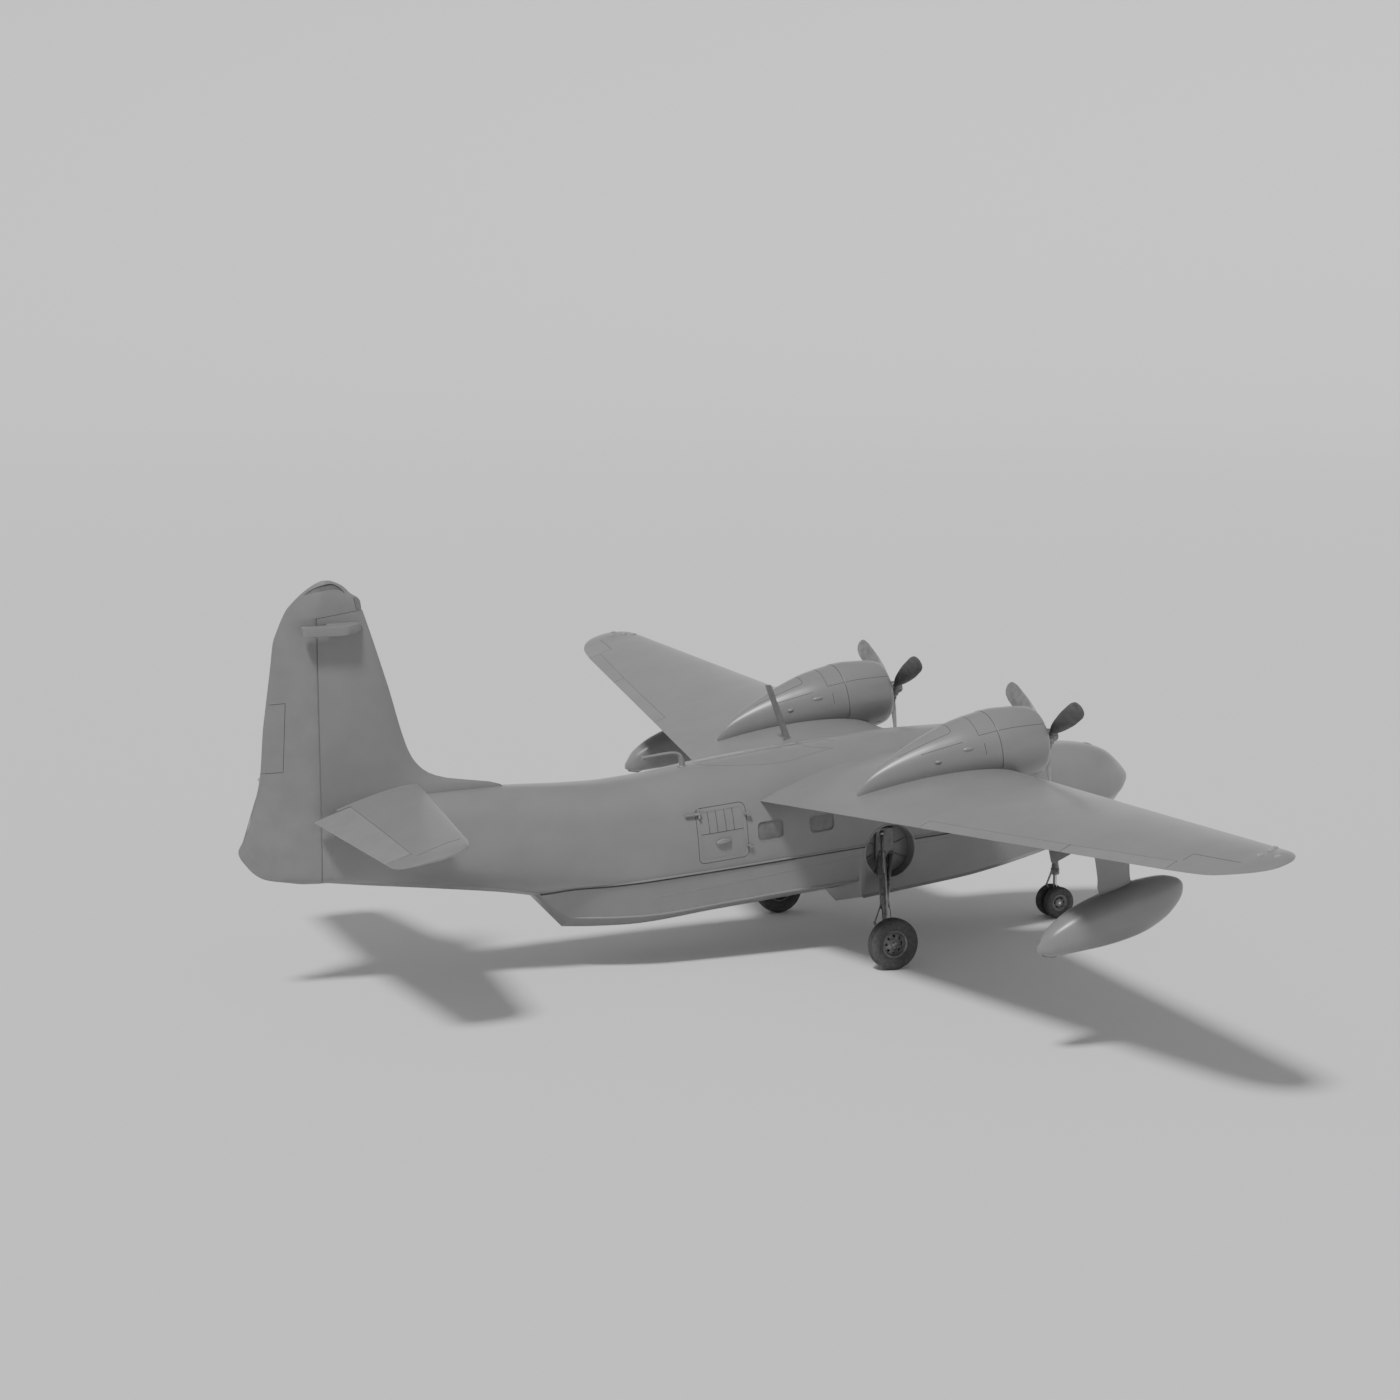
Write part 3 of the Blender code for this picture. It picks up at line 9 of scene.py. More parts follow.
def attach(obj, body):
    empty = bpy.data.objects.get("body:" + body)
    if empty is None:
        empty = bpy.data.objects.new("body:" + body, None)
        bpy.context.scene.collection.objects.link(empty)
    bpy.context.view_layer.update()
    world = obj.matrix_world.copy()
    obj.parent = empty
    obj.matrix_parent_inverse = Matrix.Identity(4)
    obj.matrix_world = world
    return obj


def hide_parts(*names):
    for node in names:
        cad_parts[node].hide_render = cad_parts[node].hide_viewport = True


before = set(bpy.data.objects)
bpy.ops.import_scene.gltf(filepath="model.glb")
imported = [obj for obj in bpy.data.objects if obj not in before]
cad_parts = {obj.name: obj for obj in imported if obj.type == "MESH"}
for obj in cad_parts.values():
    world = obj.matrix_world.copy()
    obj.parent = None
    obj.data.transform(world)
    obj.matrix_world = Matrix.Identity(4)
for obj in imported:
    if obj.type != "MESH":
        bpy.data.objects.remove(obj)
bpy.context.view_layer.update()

# Metres throughout; X runs to port, Y aft and Z up
hullLength = 19.15
starboard = -1
port = 1
sides = ((starboard, "right"), (port, "left"))
seatGap = 0.0003
runGap = 0.010
root = "airframe"
creaseAngle = radians(32.0)
rayReach = 6.0
aftward = Vector((0.0, 1.0, 0.0))
upward = Vector((0.0, 0.0, 1.0))
down = Vector((0.0, 0.0, -1.0))


# A point from the distance out from the middle, the station aft of the nose and the height
def at(side, out, station, height):
    return Vector((side * out, station - hullLength / 2.0, height))


def outward(side):
    return Vector((side, 0.0, 0.0))


# A point from the distance off the Z axis, the angle round it and the distance along it
def polar(radius, angle, along=0.0):
    return Vector((radius * cos(angle), radius * sin(angle), along))


# Evenly spaced values from the first to the last
def spread(first, last, steps):
    return [first + (last - first) * step / steps for step in range(steps + 1)]


def around(steps):
    return [2.0 * pi * step / steps for step in range(steps)]


# Finishes: each entry is the real material, with what its making gives the eye
def linearColour(hexText):
    channels = []
    for start in (0, 2, 4):
        value = int(hexText[start:start + 2], 16) / 255.0
        channels.append(value / 12.92 if value <= 0.04045 else ((value + 0.055) / 1.055) ** 2.4)
    return (*channels, 1.0)


# Adds one node with its settings, and links (from node, output) into its inputs
def addNode(tree, kind, settings=None, links=()):
    node = tree.nodes.new(kind)
    for key, value in (settings or {}).items():
        if key == "stops":
            ramp = node.color_ramp
            while len(ramp.elements) < len(value):
                ramp.elements.new(0.5)
            for element, (place, colour) in zip(ramp.elements, value):
                element.position = place
                element.color = colour
        elif key in node.inputs:
            node.inputs[key].default_value = value
        else:
            setattr(node, key, value)
    for source, output, target in links:
        tree.links.new(source.outputs[output], node.inputs[target])
    return node


# A finish has a light and a dark colour, a mottle that mixes them, and a fine grain for the bump.
# Sizes are in millimetres: mottle is the size of a patch, grain the pitch of the surface.
finishes = {
    # Rolled aluminium sheet under sprayed enamel: satin, with the sheet's slow waves and faint streaks
    "sprayedEnamel": dict(slot="paint_grey", light="838383", dark="7e7e7e", rough=(0.28, 0.34),
                          mottle=900.0, grain=9.0, grainDepth=0.05, wave=430.0, waveDepth=1.6),
    # The same enamel over steel castings and small fittings, a little darker where hands and oil reach
    "brushedEnamel": dict(slot="paint_grey", light="808080", dark="727272", rough=(0.38, 0.52),
                          mottle=120.0, grain=7.0, grainDepth=0.12),
    # Doped cotton fabric: duller than the sheet, thread pitch 0.6 mm drawn at 6 mm so that it shows
    "dopedFabric": dict(slot="doped_fabric", light="838383", dark="7c7c7c", rough=(0.54, 0.62),
                        mottle=500.0, weave=6.0, grainDepth=0.12, sheen=0.15),
    # Vulcanised rubber: matt, dusty on the shoulders, with a fine cast grain
    "vulcanisedRubber": dict(slot="tyre_rubber", light="585858", dark="454545", rough=(0.72, 0.92),
                             mottle=60.0, grain=5.0, grainDepth=0.35),
    # Plated steel tube: cool grey with turned streaks round it
    "platedSteel": dict(slot="bare_metal", light="9a9a9a", dark="6f6f6f", rough=(0.30, 0.46), metallic=0.85,
                        mottle=80.0, grain=4.0, grainDepth=0.08),
    # Hard chrome on the sliding tubes: nearly a mirror
    "hardChrome": dict(slot="bare_metal", light="c4c4c4", dark="adadad", rough=(0.08, 0.16), metallic=1.0,
                       mottle=40.0, grain=3.0, grainDepth=0.02),
    # Sand-cast aluminium wheels and cases: grainy, with darker hollows
    "castAluminium": dict(slot="engine_metal", light="8c8c8c", dark="686868", rough=(0.42, 0.58), metallic=0.8,
                          mottle=90.0, grain=4.0, grainDepth=0.30),
    # Forged aluminium blades, etched matt: dark and even, with fine polishing marks along the blade
    "etchedDuralumin": dict(slot="airscrew_metal", light="969696", dark="7a7a7a", rough=(0.40, 0.52), metallic=0.45,
                            mottle=150.0, grain=5.0, grainDepth=0.05),
    # Tinted acrylic sheet, hot formed: glossy, slightly uneven, dark enough to hide the cabin; the same dark finish
    # lines the hollow near the rudder's top as painted shade
    "smokedAcrylicAndPaintedShade": dict(slot="paint_grey", light="727272", dark="5e5e5e", rough=(0.06, 0.14),
                          mottle=300.0, wave=260.0, waveDepth=1.2, ior=1.49),
    # Painted shade: a matt paint, darker than the enamel, laid along joints, grooves and under the rail's ledge where
    # shade falls
    "paintedShade": dict(slot="paint_grey", light="505050", dark="3c3c3c", rough=(0.70, 0.85),
                         mottle=30.0, grain=6.0, grainDepth=0.10),
    # Woven wool and vinyl of the cabin: soft, dark, with a 3 mm weave drawn at 8 mm
    "woolTrim": dict(slot="cabin_trim", light="777777", dark="575757", rough=(0.82, 0.95),
                     mottle=140.0, weave=8.0, grainDepth=0.5, sheen=0.3),
    # Tinned copper pipe and braided ignition leads, drawn: dark, smooth and slightly shiny
    "tinnedConduit": dict(slot="engine_metal", light="6a6a6a", dark="4a4a4a", rough=(0.35, 0.50), metallic=0.8,
                         mottle=40.0, grain=4.0, grainDepth=0.08),
    # Lamp glass: pressed, clear grey
    "pressedGlass": dict(slot="paint_grey", light="a8a8a8", dark="949494", rough=(0.05, 0.10),
                         mottle=30.0, ior=1.52),
}
materials = {}


def addFinish(name, spec):
    material = bpy.data.materials.new(name)
    material.use_nodes = True
    tree = material.node_tree
    shader = tree.nodes["Principled BSDF"]
    place = addNode(tree, "ShaderNodeTexCoord")

    def texture(kind, **settings):
        return addNode(tree, kind, settings, [(place, "Object", "Vector")])

    mottle = texture("ShaderNodeTexNoise", Scale=1000.0 / spec["mottle"], Detail=5.0, Roughness=0.6)
    tint = addNode(tree, "ShaderNodeValToRGB",
                   {"stops": ((0.32, linearColour(spec["dark"])), (0.68, linearColour(spec["light"])))},
                   [(mottle, "Fac", "Fac")])
    tree.links.new(tint.outputs["Color"], shader.inputs["Base Color"])
    low, high = spec["rough"]
    gloss = addNode(tree, "ShaderNodeMapRange", {"To Min": high, "To Max": low}, [(mottle, "Fac", "Value")])
    tree.links.new(gloss.outputs["Result"], shader.inputs["Roughness"])
    for key, socket in (("metallic", "Metallic"), ("ior", "IOR"), ("sheen", "Sheen Weight")):
        if key in spec:
            shader.inputs[socket].default_value = spec[key]
    bumps = []
    for key, detail, depth in (("wave", 1.0, "waveDepth"), ("grain", 3.0, "grainDepth")):
        if key in spec:
            bumps.append((texture("ShaderNodeTexNoise", Scale=1000.0 / spec[key], Detail=detail), "Fac", spec[depth]))
    if "weave" in spec:
        # The wave texture turns 20 radians for each unit of its scale
        pitch = 1000.0 / spec["weave"] / 20.0 * 6.283
        threads = [texture("ShaderNodeTexWave", bands_direction=axis, Scale=pitch, Distortion=0.4) for axis in "XYZ"]
        woven, output = threads[0], "Fac"
        for thread in threads[1:]:
            links = [(woven, output, 0), (thread, "Fac", 1)]
            woven, output = addNode(tree, "ShaderNodeMath", {"operation": "MAXIMUM"}, links), "Value"
        bumps.append((woven, output, spec["grainDepth"]))
    last = None
    for source, output, depth in bumps:
        links = [(source, output, "Height")]
        if last:
            links.append((last, "Normal", "Normal"))
        last = addNode(tree, "ShaderNodeBump", {"Strength": 0.6, "Distance": depth / 1000.0}, links)
    if last:
        tree.links.new(last.outputs["Normal"], shader.inputs["Normal"])
    materials[name] = material


for finishName, finishSpec in finishes.items():
    addFinish(finishName, finishSpec)
print("finishes made:", len(materials))


# Shapes: each is a list of points and a list of faces
def skin(rings, looped=False):
    points = [Vector(point) for ring in rings for point in ring]
    count = len(rings[0])
    total = len(rings)
    faces = []
    for row in range(total if looped else total - 1):
        here = row * count
        there = ((row + 1) % total) * count
        for step in range(count):
            after = (step + 1) % count
            faces.append((here + step, here + after, there + after, there + step))
    if not looped:
        faces.append(tuple(range(count)))
        faces.append(tuple(reversed(range((total - 1) * count, total * count))))
    return points, faces


def together(shapes):
    points = []
    faces = []
    for shapePoints, shapeFaces in shapes:
        shift = len(points)
        points.extend(shapePoints)
        faces.extend(tuple(index + shift for index in face) for face in shapeFaces)
    return points, faces


# A frame whose Z runs along the direction and whose Y lies near the given up
def frameAt(origin, direction, up=None):
    along = Vector(direction).normalized()
    if up is None:
        up = aftward if abs(along.z) > 0.9 else upward
    across = Vector(up).cross(along).normalized()
    over = along.cross(across)
    return Matrix.Translation(Vector(origin)) @ Matrix((across, over, along)).transposed().to_4x4()


# Solid of revolution about the frame's Z, from (along, radius) points
def turned(profile, place, steps=32, looped=False):
    return skin([[place @ polar(radius, angle, along) for angle in around(steps)]
                 for along, radius in profile], looped)


def rod(start, end, radius, steps=20, bevel=0.0):
    length = (Vector(end) - Vector(start)).length
    profile = [(0.0, radius), (length, radius)]
    if bevel:
        profile = [(0.0, radius - bevel), (bevel, radius), (length - bevel, radius), (length, radius - bevel)]
    return turned(profile, frameAt(start, Vector(end) - Vector(start)), steps)


# Bolts in a ring about the frame's Z, each starting at a distance along it
def boltRing(place, count, radius, along, length, size, sides=6, shift=0.5):
    spots = [polar(radius, 2.0 * pi * (index + shift) / count, along) for index in range(count)]
    return [rod(place @ spot, place @ (spot + upward * length), size, sides) for spot in spots]


# Tube of changing radius along points
def tube(path, radii, steps=16, up=(1.0, 0.0, 0.0)):
    rings = []
    for index, point in enumerate(path):
        before = Vector(path[max(index - 1, 0)])
        after = Vector(path[min(index + 1, len(path) - 1)])
        place = frameAt(point, after - before, up)
        radius = radii[index] if isinstance(radii, list) else radii
        rings.append([place @ polar(radius, angle) for angle in around(steps)])
    return skin(rings)

# Points on a smooth curve through a few guide points
def smoothPath(guides, steps=6):
    guides = [Vector(point) for point in guides]
    path = []
    for index in range(len(guides) - 1):
        p0 = guides[max(index - 1, 0)]
        p1, p2 = guides[index], guides[index + 1]
        p3 = guides[min(index + 2, len(guides) - 1)]
        for step in range(steps):
            t = step / steps
            path.append(0.5 * (2.0 * p1 + (p2 - p0) * t + (2.0 * p0 - 5.0 * p1 + 4.0 * p2 - p3) * t * t
                               + (3.0 * p1 - p0 - 3.0 * p2 + p3) * t * t * t))
    path.append(guides[-1])
    return path


# Outline of (x, y) points pushed along the frame's Z
def prism(outline, place, near, far):
    return skin([[place @ Vector((x, y, along)) for x, y in outline] for along in (near, far)])


def box(low, high, bevel=0.0):
    (x0, y0, z0), (x1, y1, z1) = low, high

    def outline(inset):
        return (x0 + inset, y0 + inset), (x1 - inset, y0 + inset), (x1 - inset, y1 - inset), (x0 + inset, y1 - inset)

    if not bevel:
        return prism(outline(0.0), Matrix.Identity(4), z0, z1)
    outer, inner = rounded(outline(0.0), bevel, 3), rounded(outline(bevel * 0.4), bevel * 0.6, 3)
    levels = (inner, z0), (outer, z0 + bevel * 0.5), (outer, z1 - bevel * 0.5), (inner, z1)
    return skin([[Vector((x, y, z)) for x, y in ring] for ring, z in levels])


# Convex outline with an arc at each corner
def rounded(corners, radius, steps=5):
    outline = []
    for index in range(len(corners)):
        corner = Vector(corners[index])
        before = (Vector(corners[index - 1]) - corner).normalized()
        after = (Vector(corners[(index + 1) % len(corners)]) - corner).normalized()
        half = before.angle(after) / 2.0
        centre = corner + (before + after).normalized() * radius / sin(half)
        start = corner + before * radius / tan(half) - centre
        end = corner + after * radius / tan(half) - centre
        first = atan2(start.y, start.x)
        turn = (atan2(end.y, end.x) - first + pi) % (2.0 * pi) - pi
        for step in range(steps + 1):
            angle = first + turn * step / steps
            outline.append((centre.x + radius * cos(angle), centre.y + radius * sin(angle)))
    return outline


# Rectangle about a centre in the side view, turned by a tilt and pulled in by a margin
def tiltedBox(centre, size, tilt, margin=0.0):
    corners = []
    for x, y in ((-0.5, -0.5), (0.5, -0.5), (0.5, 0.5), (-0.5, 0.5)):
        across = x * (size[0] - 2.0 * margin)
        over = y * (size[1] - 2.0 * margin)
        corners.append((centre[0] + across * cos(tilt) + over * sin(tilt),
                        centre[1] - across * sin(tilt) + over * cos(tilt)))
    return corners


def sidePrism(outline, side, near, far):
    return skin([[at(side, out, station, height) for station, height in outline] for out in (near, far)])


# Strip with a given section laid along points on a surface
def strip(points, normals, profile, looped=False):
    rings = []
    count = len(points)
    for index in range(count):
        before = points[(index - 1) % count] if looped else points[max(index - 1, 0)]
        after = points[(index + 1) % count] if looped else points[min(index + 1, count - 1)]
        tangent = (after - before).normalized()
        across = tangent.cross(normals[index]).normalized()
        over = across.cross(tangent).normalized()
        rings.append([points[index] + across * x + over * y for x, y in profile])
    return skin(rings, looped=looped)


# Points and normals where rays along a direction meet a surface, along straight legs
def traced(tree, corners, direction, spacing=0.05, looped=False):
    origins = []
    for start, end in zip(corners, corners[1:] + corners[:1] if looped else corners[1:]):
        steps = max(1, int((end - start).length / spacing))
        origins += [start.lerp(end, step / steps) for step in range(steps)]
    if not looped:
        origins.append(corners[-1])
    points = []
    normals = []
    for origin in origins:
        hit, normal, _, _ = tree.ray_cast(origin - direction * rayReach, direction)
        if hit:
            points.append(hit)
            normals.append(normal if normal.dot(direction) < 0.0 else -normal)
    return points, normals


def seamProfile(width=0.014, height=0.0015):
    return ((-width / 2.0, -0.003), (-width * 0.35, height), (width * 0.35, height), (width / 2.0, -0.003))


def beadProfile(width, height, steps=6):
    crown = [(-width / 2.0 * cos(pi * step / steps), height * sin(pi * step / steps)) for step in range(steps + 1)]
    return [(-width / 2.0, -0.004), *crown, (width / 2.0, -0.004)]


def treeOf(shape):
    return BVHTree.FromPolygons(*shape)


# Strips along several lines on a surface, each a list of corners
def seams(tree, lines, direction, profile=None, spacing=0.05, looped=False):
    traces = [traced(tree, corners, direction, spacing, looped) for corners in lines]
    return [strip(points, normals, profile or seamProfile(), looped) for points, normals in traces if len(points) > 1]


def shadeSmooth(mesh):
    mesh.shade_smooth()
    mesh.set_sharp_from_angle(angle=creaseAngle)


# Puts a shape, or a list of them, in the scene as one piece with its finish, its body and the solids it stands for
def addPiece(name, shape, finish, body=root, nodes=()):
    points, faces = together(shape) if isinstance(shape, list) else shape
    mesh = bpy.data.meshes.new(name)
    mesh.from_pydata(points, [], faces)
    work = bmesh.new()
    work.from_mesh(mesh)
    bmesh.ops.recalc_face_normals(work, faces=work.faces)
    work.to_mesh(mesh)
    work.free()
    piece = bpy.data.objects.new(name, mesh)
    bpy.context.scene.collection.objects.link(piece)
    mesh.materials.append(materials[finish])
    if body:
        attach(piece, body)
    if nodes:
        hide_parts(*nodes)
    shadeSmooth(mesh)
    return piece


# Cuts, joins or keeps with other shapes, and leaves one plain mesh
def carve(piece, shapes, operation="DIFFERENCE", finish="sprayedEnamel"):
    cutters = [addPiece("cutter", shape, finish, body=None) for shape in shapes]
    for cutter in cutters:
        step = piece.modifiers.new("carve", "BOOLEAN")
        step.operation = operation
        step.solver = "EXACT"
        step.material_mode = "TRANSFER"
        step.object = cutter
    view = bpy.context.evaluated_depsgraph_get()
    mesh = bpy.data.meshes.new_from_object(piece.evaluated_get(view), depsgraph=view)
    piece.modifiers.clear()
    piece.data = mesh
    for cutter in cutters:
        bpy.data.objects.remove(cutter, do_unlink=True)
    shadeSmooth(mesh)
    return piece


# Smooth curve through the rows of a table, first column the key; breaks are keys with a corner
def curveThrough(rows, breaks=(), warp=float):
    spans = []
    start = 0
    for index, row in enumerate(rows):
        if row[0] in breaks or index == len(rows) - 1:
            spans.append(rows[start:index + 1])
            start = index
    fitted = []
    for part in (span for span in spans if len(span) > 1):
        keys = [warp(row[0]) for row in part]
        columns = []
        for values in list(zip(*part))[1:]:
            steps = [(b - a) / (q - p) for a, b, p, q in zip(values, values[1:], keys, keys[1:])]
            slopes = [steps[0]] + [0.0 if s * t <= 0.0 else 2.0 * s * t / (s + t) for s, t in zip(steps, steps[1:])]
            slopes.append(steps[-1])
            columns.append((values, slopes))
        fitted.append((keys, columns))

    def rowAt(key):
        place = warp(key)
        for keys, columns in fitted:
            if place <= keys[-1] + 1e-9:
                break
        index = 0
        while index < len(keys) - 2 and place > keys[index + 1]:
            index += 1
        width = keys[index + 1] - keys[index]
        t = min(max((place - keys[index]) / width, 0.0), 1.0)
        result = []
        for values, slopes in columns:
            a, b = values[index], values[index + 1]
            p, q = slopes[index] * width, slopes[index + 1] * width
            result.append(a * (2 * t**3 - 3 * t**2 + 1) + p * (t**3 - 2 * t**2 + t)
                          + b * (3 * t**2 - 2 * t**3) + q * (t**3 - t**2))
        return result

    return rowAt


def straightRow(rows, key):
    for first, second in zip(rows, rows[1:]):
        if key <= second[0]:
            break
    share = (key - first[0]) / (second[0] - first[0])
    return [a + (b - a) * share for a, b in zip(first, second)]


# Hull
hull = {
    # station, keel height, chine half width and height, rail half width and height,
    # widest half width and its height, roof height
    "rows": (
        (0.00, 2.86, 0.03, 2.87, 0.05, 2.88, 0.06, 2.91, 2.97),
        (0.10, 2.74, 0.14, 2.77, 0.20, 2.80, 0.26, 2.90, 3.12),
        (0.30, 2.52, 0.30, 2.60, 0.38, 2.68, 0.46, 2.86, 3.32),
        (0.60, 2.22, 0.48, 2.42, 0.58, 2.58, 0.66, 2.82, 3.55),
        (1.10, 1.86, 0.72, 2.16, 0.82, 2.52, 0.90, 2.77, 3.70),
        (1.80, 1.53, 0.92, 1.90, 1.01, 2.50, 1.08, 2.75, 3.77),
        (2.35, 1.36, 1.02, 1.76, 1.11, 2.48, 1.17, 2.76, 3.82),
        (3.05, 1.21, 1.09, 1.61, 1.17, 2.43, 1.23, 2.76, 4.18),
        (3.60, 1.12, 1.12, 1.50, 1.19, 2.39, 1.24, 2.77, 4.25),
        (4.40, 1.01, 1.15, 1.37, 1.20, 2.33, 1.25, 2.77, 4.28),
        (5.60, 0.90, 1.17, 1.24, 1.20, 2.25, 1.25, 2.74, 4.27),
        (6.75, 0.80, 1.18, 1.12, 1.20, 2.17, 1.25, 2.70, 4.18),
        (6.79, 1.08, 1.16, 1.46, 1.20, 2.17, 1.25, 2.70, 4.18),
        (8.00, 0.98, 1.14, 1.40, 1.19, 2.08, 1.25, 2.66, 4.08),
        (9.50, 0.86, 1.08, 1.27, 1.17, 1.97, 1.24, 2.61, 3.93),
        (11.20, 0.73, 0.98, 1.12, 1.12, 1.85, 1.18, 2.58, 3.71),
        (12.00, 0.76, 0.78, 1.10, 0.98, 1.79, 1.12, 2.58, 3.66),
        (12.72, 0.82, 0.50, 1.10, 0.74, 1.74, 1.05, 2.58, 3.67),
        (13.40, 1.53, 0.30, 1.56, 0.56, 1.66, 0.97, 2.58, 3.70),
        (14.00, 1.64, 0.26, 1.67, 0.50, 1.77, 0.90, 2.62, 3.72),
        (15.40, 1.83, 0.20, 1.86, 0.38, 1.95, 0.68, 2.68, 3.71),
        (16.60, 1.98, 0.14, 2.01, 0.26, 2.08, 0.44, 2.75, 3.66),
        (17.44, 2.10, 0.06, 2.115, 0.12, 2.17, 0.17, 2.70, 3.60),
    ),
    "step": (6.75, 6.79),
    "knuckle": (12.72, 13.40),
    "windscreen": (2.35, 3.05),
    "squareness": 0.85,
    "wall": 0.07,
    "flank": 1.25,
    # rooms: station, floor and ceiling
    "cockpit": ((2.50, 2.42, 3.70), (3.05, 2.38, 4.06), (3.60, 2.36, 4.15), (5.30, 2.32, 4.17)),
    "cabin": ((7.00, 2.22, 3.36), (9.00, 2.10, 3.36), (10.90, 1.99, 3.34)),
    # first and last station, half width, top
    "noseWell": (1.22, 2.02, 0.34, 1.98),
    # station, height, radius, depth
    "wheelWell": (6.12, 2.02, 0.54, 0.36),
    "roomLevels": (0.0, 0.12, 0.25, 0.4, 0.55, 0.7, 0.82, 0.93),
    "roomStep": 0.3,
    # how far the prisms that cut the openings run
    "openingReach": (0.9, 1.5),
    "cockpitReach": (0.35, 1.5),
    "frontReach": (2.0, 3.3),
}
stepFore, stepAft = hull["step"]
sternPost = hull["rows"][-1][0]
lowerRows = [row[:4] for row in hull["rows"]]
lowerFore = curveThrough([row for row in lowerRows if row[0] <= stepFore], warp=sqrt)
lowerAft = curveThrough([row for row in lowerRows if row[0] >= stepAft], breaks=hull["knuckle"])
upper = curveThrough([(row[0], *row[4:]) for row in hull["rows"] if row[0] != stepAft],
                     breaks=hull["windscreen"], warp=sqrt)


# Half section from keel to roof as (half width, height)
def hullHalf(station, grow=0.0):
    if station <= stepFore:
        keel, chineW, chineZ = lowerFore(station)
    elif station >= stepAft:
        keel, chineW, chineZ = lowerAft(station)
    else:
        share = (station - stepFore) / (stepAft - stepFore)
        keel, chineW, chineZ = [a + (b - a) * share for a, b in zip(lowerFore(stepFore), lowerAft(stepAft))]
    railW, railZ, wideW, wideZ, roof = upper(station)
    half = [(chineW * step / 4.0, keel + (chineZ - keel) * step / 4.0) for step in range(5)]
    half += [(chineW + (railW - chineW) * step / 4.0, chineZ + (railZ - chineZ) * step / 4.0) for step in range(1, 5)]
    for step in range(1, 7):
        angle = step / 6.0 * pi / 2.0
        half.append((railW + (wideW - railW) * sin(angle), wideZ - (wideZ - railZ) * cos(angle)))
    for step in range(1, 21):
        angle = step / 20.0 * pi / 2.0
        reach = max(cos(angle), 0.0) ** hull["squareness"] if step < 20 else 0.0
        half.append((wideW * reach, wideZ + (roof - wideZ) * sin(angle) ** hull["squareness"]))
    if not grow:
        return half
    moved = []
    for index, (w, z) in enumerate(half):
        (w0, z0), (w1, z1) = half[max(index - 1, 0)], half[min(index + 1, len(half) - 1)]
        length = hypot(w1 - w0, z1 - z0) or 1.0
        push = ((z1 - z0) / length, -(w1 - w0) / length)
        if index in (0, len(half) - 1):
            push = (0.0, -1.0 if index == 0 else 1.0)
        moved.append((max(w + push[0] * grow, 0.0), z + push[1] * grow))
    return moved


def hullStations(first, last):
    marks = {first, last, *hull["step"], *hull["windscreen"], *hull["knuckle"]}
    marks.update((step * 0.07) ** 2 for step in range(22))
    marks.update(2.3 + step * 0.14 for step in range(110))
    return sorted(mark for mark in marks if first <= mark <= last)


def hullShape(first, last, grow=0.0):
    rings = []
    for station in hullStations(first, last):
        half = hullHalf(station, grow)
        ring = [at(starboard, w, station, z) for w, z in half]
        ring += [at(port, w, station, z) for w, z in reversed(half[1:-1])]
        rings.append(ring)
    return skin(rings)


def halfWidthAt(station, height):
    half = hullHalf(station)
    for (w0, z0), (w1, z1) in zip(half, half[1:]):
        if z0 <= height <= z1:
            return w0 + (w1 - w0) * (height - z0) / (z1 - z0)
    return 0.0


# Room cut out of the hull, from rows of station, floor and ceiling
def roomShape(table):
    wall = hull["wall"]
    within = [table[0][0] + step * hull["roomStep"] for step in range(1, 14)]
    rings = []
    for station in sorted({row[0] for row in table} | {mark for mark in within if mark < table[-1][0]}):
        _, floor, ceiling = straightRow(table, station)
        heights = [floor + (ceiling - floor) * level for level in hull["roomLevels"]]
        half = [(halfWidthAt(station, height) - wall, height) for height in heights]
        half.append((max(min(halfWidthAt(station, ceiling) - wall, half[-1][0] - 0.06), 0.30), ceiling))
        rings.append([at(starboard, w, station, z) for w, z in half]
                     + [at(port, w, station, z) for w, z in reversed(half)])
    return skin(rings)


glazing = {
    # station, height, width, height of the opening
    "cabin": ((8.78, 2.665, 0.55, 0.385), (7.67, 2.725, 0.53, 0.345)),
    "cabinTilt": radians(4.0),
    "cabinCorner": 0.10,
    "sideOutlines": (((3.02, 3.50), (3.60, 3.46), (3.60, 3.93), (3.10, 3.93)),
                     ((3.68, 3.46), (4.34, 3.42), (4.34, 3.93), (3.68, 3.93))),
    "sideCorner": 0.05,
    "frontOutline": ((0.04, 3.88), (0.04, 4.12), (0.50, 4.08), (0.72, 3.88)),
    "frontCorner": 0.03,
    "cabinInset": 0.024,
    "cockpitInset": 0.018,
    "thickness": 0.008,
    "gasket": 0.012,
    # how far inside the opening a pane, the gasket's hole and the bead's line lie
    "paneMargin": 0.001, "gasketMargin": 0.016, "beadMargin": -0.012,
    "gasketReach": (0.8, 1.6),
    # stretch of hull that the cockpit's panes are cut from
    "cockpitSpan": (2.8, 4.6), "frontSpan": (2.1, 3.3),
    # width and height of the bead round each opening
    "cabinBead": (0.024, 0.004),
    "cockpitBead": (0.034, 0.008),
}
